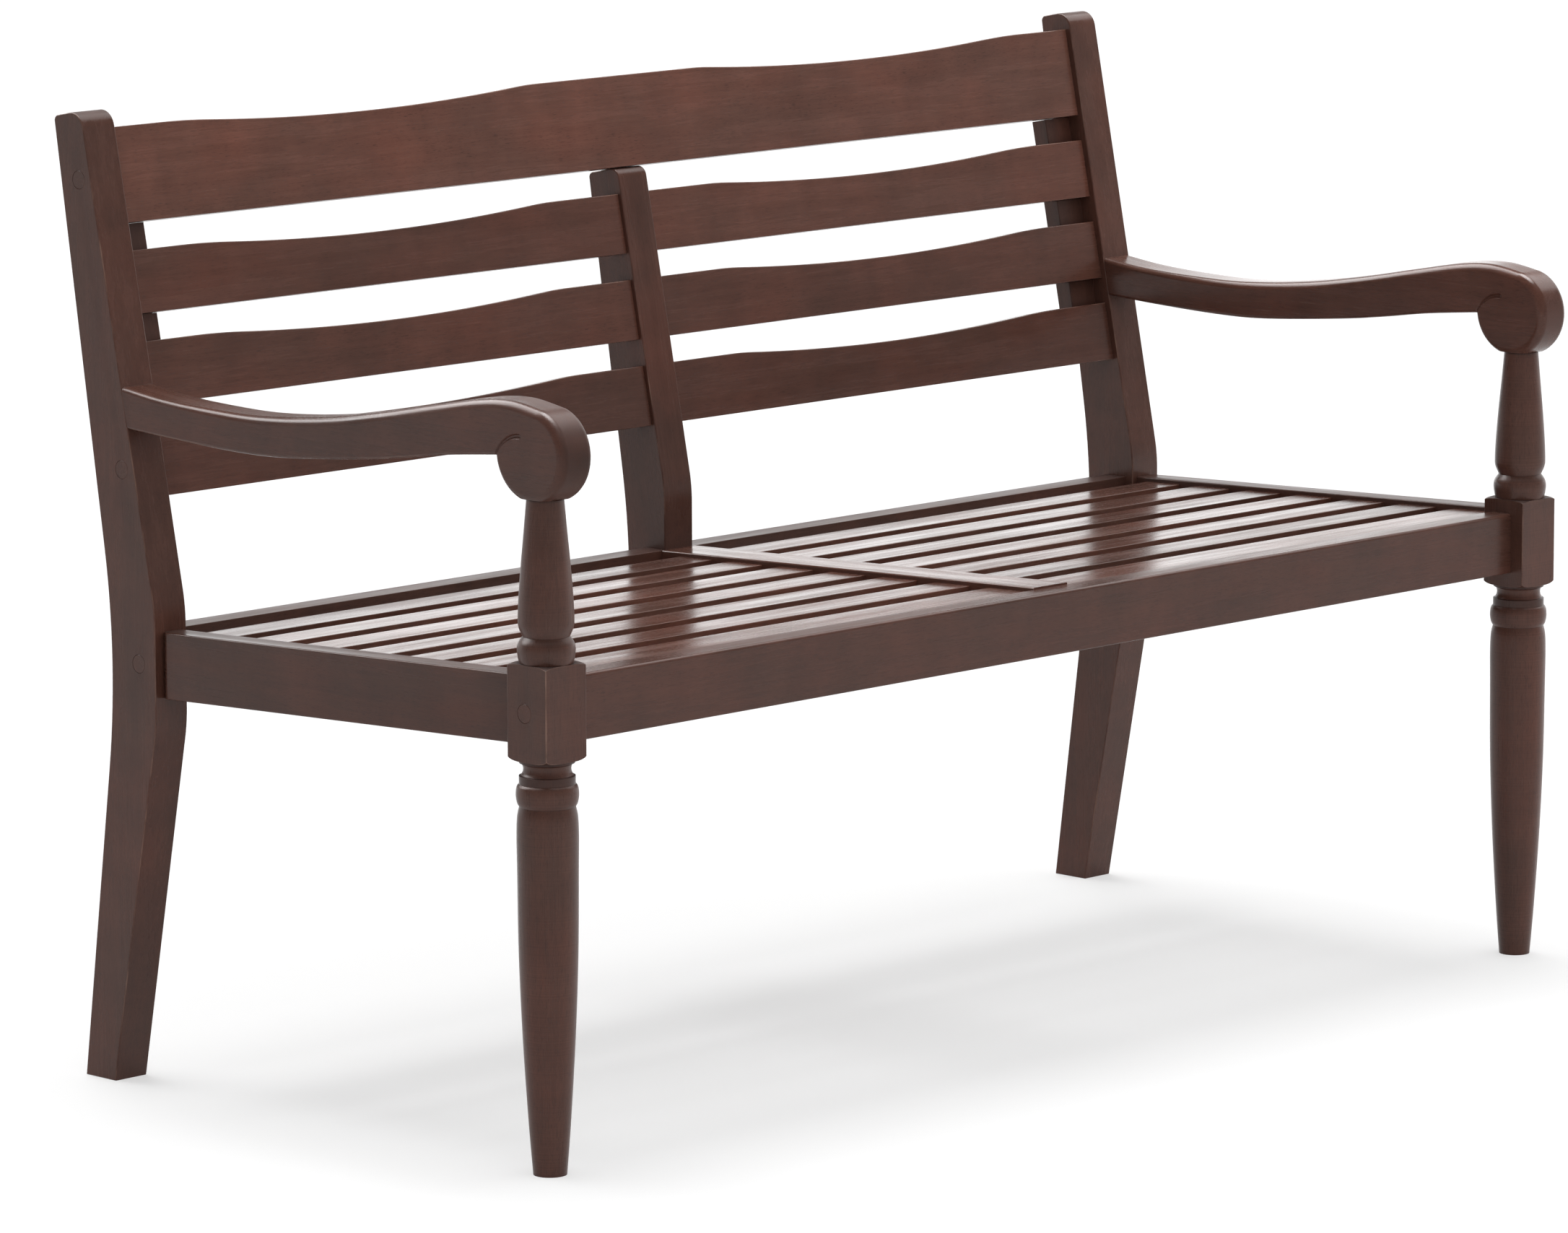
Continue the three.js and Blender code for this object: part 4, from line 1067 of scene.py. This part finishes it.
def tree_of(name, inputs):
    """A Geometry Nodes tree that has inputs with these names and defaults, and the sockets they come from."""
    tree = bpy.data.node_groups.new(name, "GeometryNodeTree")
    for way in ("OUTPUT", "INPUT"):
        tree.interface.new_socket("Geometry", in_out=way, socket_type="NodeSocketGeometry")
    for label, default in inputs.items():
        socket = tree.interface.new_socket(label, in_out="INPUT", socket_type=SOCKETS[type(default)])
        socket.default_value = default
    return tree, add(tree, "NodeGroupInput").outputs


def grown(name, tree, values, base=None):
    """A plain object of what a Geometry Nodes tree makes from the given values."""
    source = object_of(name, base or bpy.data.meshes.new(name))
    nodes = source.modifiers.new("made", "NODES")
    nodes.node_group = tree
    given = [item for item in tree.interface.items_tree if item.in_out == "INPUT"]
    sockets = {item.name: item.identifier for item in given}
    for label, value in values.items():
        nodes[sockets[label]] = value
    return settled(source)


class BENCH_OT_seat(bpy.types.Operator):
    """Lay the slats of the seat"""

    bl_idname = "bench.seat"
    bl_label = "Seat slats"

    def slats(self, material):
        """A tree that lays rounded slats side by side, in one half of the seat."""
        tree, given = tree_of("seat_slats", {
            "Rows": 6, "Width": 0.043, "Thickness": 0.016, "Radius": 0.0025, "Pitch": 0.05,
            "From": 0.0225, "To": 0.63, "Start": (0.0, 0.0, 0.0), "Seed": 1,
        })
        node = partial(add, tree)
        point = node("GeometryNodeInputPosition")
        # The section, whose lower corners are eased less, is run along one slat
        section = node("GeometryNodeCurvePrimitiveQuadrilateral", (given["Width"], given["Thickness"]))
        height = node("ShaderNodeSeparateXYZ", (point,)).outputs["Y"]
        under = node("FunctionNodeCompare", (height, 0.0), data_type="FLOAT", operation="LESS_THAN")
        small = node("ShaderNodeMath", (given["Radius"], SLAT_UNDER_SHARE), operation="MULTIPLY")
        radius = node("GeometryNodeSwitch", (under, given["Radius"], small), input_type="FLOAT")
        inputs = {"Curve": section, "Radius": radius, "Count": SLAT_EDGE_STEPS, "Limit Radius": True}
        rounded = node("GeometryNodeFilletCurve", inputs, mode="POLY")
        start, end = (node("ShaderNodeCombineXYZ", {"X": given[place]}) for place in ("From", "To"))
        line = node("GeometryNodeCurvePrimitiveLine", {"Start": start, "End": end})
        slat = node("GeometryNodeCurveToMesh", {"Curve": line, "Profile Curve": rounded, "Fill Caps": True})
        step = node("ShaderNodeCombineXYZ", {"Y": given["Pitch"]})
        inputs = {"Count": given["Rows"], "Start Location": given["Start"], "Offset": step}
        rows = node("GeometryNodeMeshLine", inputs)
        laid = node("GeometryNodeInstanceOnPoints", {"Points": rows, "Instance": slat})
        # Each slat draws its own place in the timber, between inputs 0 and 1, and its own tone, between
        # inputs 2 and 3
        draw = {"ID": node("GeometryNodeInputIndex"), "Seed": given["Seed"]}
        inputs = {0: (-SLAT_TIMBER,) * 3, 1: (SLAT_TIMBER,) * 3, **draw}
        timber = node("FunctionNodeRandomValue", inputs, data_type="FLOAT_VECTOR")
        inputs = {2: SEAT_TONES[0], 3: SEAT_TONES[1], **draw}
        tone = node("FunctionNodeRandomValue", inputs, data_type="FLOAT")
        for name, value, kind in (("grain", timber, "FLOAT_VECTOR"), ("tone", tone, "FLOAT")):
            inputs = {"Geometry": laid, "Name": name, "Value": value}
            laid = node("GeometryNodeStoreNamedAttribute", inputs, data_type=kind, domain="INSTANCE")
        real = node("GeometryNodeRealizeInstances", (laid,))
        own = node("GeometryNodeInputNamedAttribute", ("grain",), data_type="FLOAT_VECTOR")
        inputs = {
            "Geometry": real, "Name": "grain",
            "Value": node("ShaderNodeVectorMath", (own, point), operation="ADD"),
        }
        stored = node("GeometryNodeStoreNamedAttribute", inputs, data_type="FLOAT_VECTOR", domain="POINT")
        coloured = node("GeometryNodeSetMaterial", {"Geometry": stored, "Material": material})
        node("NodeGroupOutput", (coloured,))
        return tree

    def execute(self, context):
        sizes, _, at = places()
        tree = self.slats(bpy.data.materials[WOOD])
        notch = box(
            (at.block_inner - SLACK, at.rail_inner + OVERRUN),
            (at.deck_front - OVERRUN, at.along_deck(at.half + SLACK, at.slat_under)),
            (-at.slat_under - OVERRUN, OVERRUN),
        )
        front = at.deck_front + sizes.front_slat / 2
        second = at.deck_front + sizes.front_slat + at.slat_gap + sizes.seat_slat / 2
        rows = (
            ("seat_slats", range(2, sizes.seat_slats + 1), sizes.seat_slat, second),
            ("front_seat_slat", range(1, 2), sizes.front_slat, front),
        )
        seed = 1
        for label, numbers, width, start in rows:
            for side, sign, tool in (("right", 1, notch), ("left", -1, mirrored(notch))):
                seed += 1
                ends = sorted((sign * sizes.divider / 2, sign * at.rail_inner))
                made = grown(f"{label}_{side}", tree, {
                    "Rows": len(numbers), "Width": width, "Thickness": sizes.slat_thickness,
                    "Radius": sizes.slat_radius, "Pitch": sizes.seat_slat + at.slat_gap,
                    "From": ends[0], "To": ends[1], "Seed": seed,
                    "Start": (0.0, start, -sizes.slat_recess - sizes.slat_thickness / 2),
                })
                if 1 in numbers:
                    # The front slat is notched round the block of the front post
                    made = carved(made, [(tool, "DIFFERENCE")])
                    grained(made.data, ALONG_X, FRONT_SLAT_TONE)
                made.data.transform(at.world @ at.deck)
                made.data.update()
                dress(made, WOOD, [f"seat_slat_{side}_{n}" for n in numbers])
        return {"FINISHED"}


class BENCH_OT_plugs(bpy.types.Operator):
    """Set the plugs over the bolts"""

    bl_idname = "bench.plugs"
    bl_label = "Plugs"

    def plug(self, material):
        """A tree that sets a chamfered plug on each point, with its face the way the point's vector goes."""
        tree, given = tree_of("plugs", {"Radius": 0.0083, "Length": 0.008, "Chamfer": 0.0003})
        node = partial(add, tree)
        rim = node("ShaderNodeMath", (given["Radius"], given["Chamfer"]), operation="SUBTRACT")
        side = node("ShaderNodeMath", (given["Length"], given["Chamfer"]), operation="SUBTRACT")
        both = node("GeometryNodeJoinGeometry")
        # The side, open at both ends, then the chamfer and the face on top of it
        radius, chamfer = given["Radius"], given["Chamfer"]
        for top, height, under, fill in (
            (radius, side, given["Length"], "NONE"), (rim, chamfer, chamfer, "NGON"),
        ):
            inputs = {"Vertices": PLUG_SIDES, "Radius Top": top, "Radius Bottom": radius, "Depth": height}
            cone = node("GeometryNodeMeshCone", inputs, fill_type=fill)
            down = node("ShaderNodeMath", (under, -1.0), operation="MULTIPLY")
            inputs = {"Geometry": cone, "Translation": node("ShaderNodeCombineXYZ", {"Z": down})}
            tree.links.new(node("GeometryNodeTransform", inputs).outputs[0], both.inputs[0])
        whole = node("GeometryNodeMergeByDistance", {"Geometry": both, "Distance": PLUG_MERGE})
        facing = node("GeometryNodeInputNamedAttribute", ("facing",), data_type="FLOAT_VECTOR")
        turn = node("FunctionNodeAlignRotationToVector", {"Vector": facing}, axis="Z")
        inputs = {"Points": given["Geometry"], "Instance": whole, "Rotation": turn}
        real = node("GeometryNodeRealizeInstances", (node("GeometryNodeInstanceOnPoints", inputs),))
        coloured = node("GeometryNodeSetMaterial", {"Geometry": real, "Material": material})
        node("NodeGroupOutput", (coloured,))
        return tree

    def execute(self, context):
        _, back, at = places()
        spots = [(at.post_outer, *place) for place in bolt_places(back, at)]
        spots.append((at.block_outer, *at.front_bolt))
        spots = np.array(spots) + [0, at.axis, 0]
        points = np.vstack([spots, spots * [-1, 1, 1]])
        base = bpy.data.meshes.new("plug_places")
        base.from_pydata(points.tolist(), [], [])
        marked(base, "facing", np.sign(points) * [1, 0, 0])
        made = grown("plugs", self.plug(bpy.data.materials[PLUG_WOOD]), {
            "Radius": back.plug, "Length": PLUG_DEPTH - PLUG_GAP, "Chamfer": PLUG_CHAMFER,
        }, base)
        grained(made.data, ALONG_X, PLUG_TONE)
        boards = ("back_rail", "back_slat", "crest_rail", "front_rail")
        nodes = [f"{board}_plug_{side}" for board in boards for side in ("left", "right")]
        dress(made, PLUG_WOOD, nodes)
        return {"FINISHED"}


WHITE = (1, 1, 1, 1)
FLOOR_REACH = 40.0
# What the floor shows of the lamps' light, and its own glow, which bring it to white outside the shadow
FLOOR_SHOWN, FLOOR_GLOW = 0.44, 0.53
# The world's plain light, weakest from the right and strongest from the left
PLAIN_LIGHT = (0.21, 0.39)
# What the gloss shows of the world: brighter towards the back right, and fading with height, given as
# from low, from high, to low, to high
MIRROR_LIGHT = (0.5, 2.5)
MIRROR_WAY = (0.7, 0.7, 0)
MIRROR_FADE = (0.0, 0.6, 1.0, 0.15)
# Two soft lamps light the wood, and three strips show only in its gloss. Each has a name, a place, a
# turn in degrees, a strength, a spread in degrees, and whether it lights a surface and shows in gloss
LAMPS = [
    ("overhead_softbox", (0, 0, 4), (-11, 3, 0), 2.2, 32, True, True),
    ("front_softbox", (2, -4, 4), (55, 0, 24), 1.65, 110, True, False),
    ("top_strip", (0, 0, 4), (-5, 5, 0), 4.3, 40, False, True),
    ("rear_strip", (0, 4, 4), (47, 0, 188), 4.7, 44, False, True),
    ("side_strip", (4, 0, 4), (46, 0, 90), 1.1, 40, False, True),
]
# The photograph's view, as fitted to the bench's own edges
SENSOR, LENS, FAR_END = 36.0, 191.433, 200
EYE = (-5.4782, -5.3248, 1.6451)
EYE_TURN = (80.5586, 0.1611, -45.4678)


class BENCH_OT_stage(bpy.types.Operator):
    """Set the floor, the lamps and the camera"""

    bl_idname = "bench.stage"
    bl_label = "Studio"

    def execute(self, context):
        scene = context.scene
        scene.view_settings.view_transform = "Standard"
        self.lay_floor(scene)
        self.light(scene)
        camera = bpy.data.cameras.new("camera")
        camera.sensor_width, camera.lens, camera.clip_end = SENSOR, LENS, FAR_END
        scene.camera = object_of("camera", camera)
        scene.camera.location = EYE
        scene.camera.rotation_euler = np.radians(EYE_TURN)
        return {"FINISHED"}

    def lay_floor(self, scene):
        """The floor, which isn't part of the bench."""
        mesh = bpy.data.meshes.new("floor")
        corners = [(-1, -1), (1, -1), (1, 1), (-1, 1)]
        mesh.from_pydata([(x * FLOOR_REACH, y * FLOOR_REACH, 0) for x, y in corners], [], [(0, 1, 2, 3)])
        floor = object_of("floor", mesh)
        # Matt painted studio floor: white to the camera, with the bench's soft shadow on it
        material, tree = material_of("painted_floor")
        node = partial(add, tree)
        rays = node("ShaderNodeLightPath").outputs
        matt = node("ShaderNodeBsdfDiffuse", {"Color": scene.bench_finish.floor})
        shaded = node("ShaderNodeBsdfDiffuse", {"Color": (*[FLOOR_SHOWN] * 3, 1.0)})
        glow = node("ShaderNodeEmission", {"Color": WHITE, "Strength": FLOOR_GLOW})
        shown = node("ShaderNodeAddShader", (shaded, glow))
        seen = node("ShaderNodeMath", (rays["Is Camera Ray"], rays["Is Glossy Ray"]), operation="MAXIMUM")
        node("ShaderNodeOutputMaterial", (node("ShaderNodeMixShader", (seen, matt, shown)),))
        mesh.materials.append(material)

    def light(self, scene):
        """The world, white to the camera, and the lamps."""
        scene.world = bpy.data.worlds.new("studio")
        scene.world.use_nodes = True
        tree = scene.world.node_tree
        tree.nodes.clear()
        node = partial(add, tree)
        rays = node("ShaderNodeLightPath").outputs
        way = node("ShaderNodeTexCoord").outputs["Generated"]
        leftward = node("ShaderNodeVectorMath", (way, (-1, 0, 0)), operation="DOT_PRODUCT")
        plain = node("ShaderNodeMapRange", (leftward, -1.0, 1.0, *PLAIN_LIGHT))
        away = node("ShaderNodeVectorMath", (way, MIRROR_WAY), operation="DOT_PRODUCT")
        level = node("ShaderNodeMapRange", (away, 0.0, 1.0, *MIRROR_LIGHT))
        up = node("ShaderNodeSeparateXYZ", (way,)).outputs["Z"]
        fading = node("ShaderNodeMapRange", (up, *MIRROR_FADE))
        mirrored_light = node("ShaderNodeMath", (level, fading), operation="MULTIPLY")
        wall, mirror, backdrop = (
            node("ShaderNodeBackground", {"Color": WHITE, "Strength": strength})
            for strength in (plain, mirrored_light, 1.0)
        )
        inside = node("ShaderNodeMixShader", (rays["Is Glossy Ray"], wall, mirror))
        through = (rays["Is Camera Ray"], rays["Is Transmission Ray"])
        clear = node("ShaderNodeMath", through, operation="MAXIMUM")
        node("ShaderNodeOutputWorld", (node("ShaderNodeMixShader", (clear, inside, backdrop)),))
        for name, place, turn, strength, spread, lights, shows in LAMPS:
            sun = bpy.data.lights.new(name, "SUN")
            sun.energy, sun.angle = strength, math.radians(spread)
            lamp = object_of(name, sun)
            lamp.location, lamp.rotation_euler = place, np.radians(turn)
            lamp.visible_diffuse, lamp.visible_glossy = lights, shows


class BENCH_PT_panel(bpy.types.Panel):
    """The bench's pieces in the sidebar."""

    bl_label = "Bench"
    bl_space_type = "VIEW_3D"
    bl_region_type = "UI"
    bl_category = "Bench"

    def draw(self, context):
        for operator in OPERATORS:
            self.layout.operator(operator.bl_idname)
        for group in GROUPS:
            column = self.layout.column(align=True)
            data = getattr(context.scene, group)
            for name in data.__annotations__:
                column.prop(data, name)


GROUPS = {"bench_sizes": BenchSizes, "bench_back": BenchBack, "bench_finish": BenchFinish}
OPERATORS = (
    BENCH_OT_materials,
    BENCH_OT_front_posts,
    BENCH_OT_back_posts,
    BENCH_OT_arms,
    BENCH_OT_rails,
    BENCH_OT_boards,
    BENCH_OT_back_frame,
    BENCH_OT_seat,
    BENCH_OT_plugs,
    BENCH_OT_stage,
)
CLASSES = (*GROUPS.values(), *OPERATORS, BENCH_PT_panel)


def register():
    for item in CLASSES:
        bpy.utils.register_class(item)
    for name, group in GROUPS.items():
        setattr(bpy.types.Scene, name, PointerProperty(type=group))


def unregister():
    for name in GROUPS:
        delattr(bpy.types.Scene, name)
    for item in reversed(CLASSES):
        bpy.utils.unregister_class(item)


def main():
    register()
    for operator in OPERATORS:
        group, name = operator.bl_idname.split(".")
        getattr(getattr(bpy.ops, group), name)()


if __name__ == "__main__":
    main()
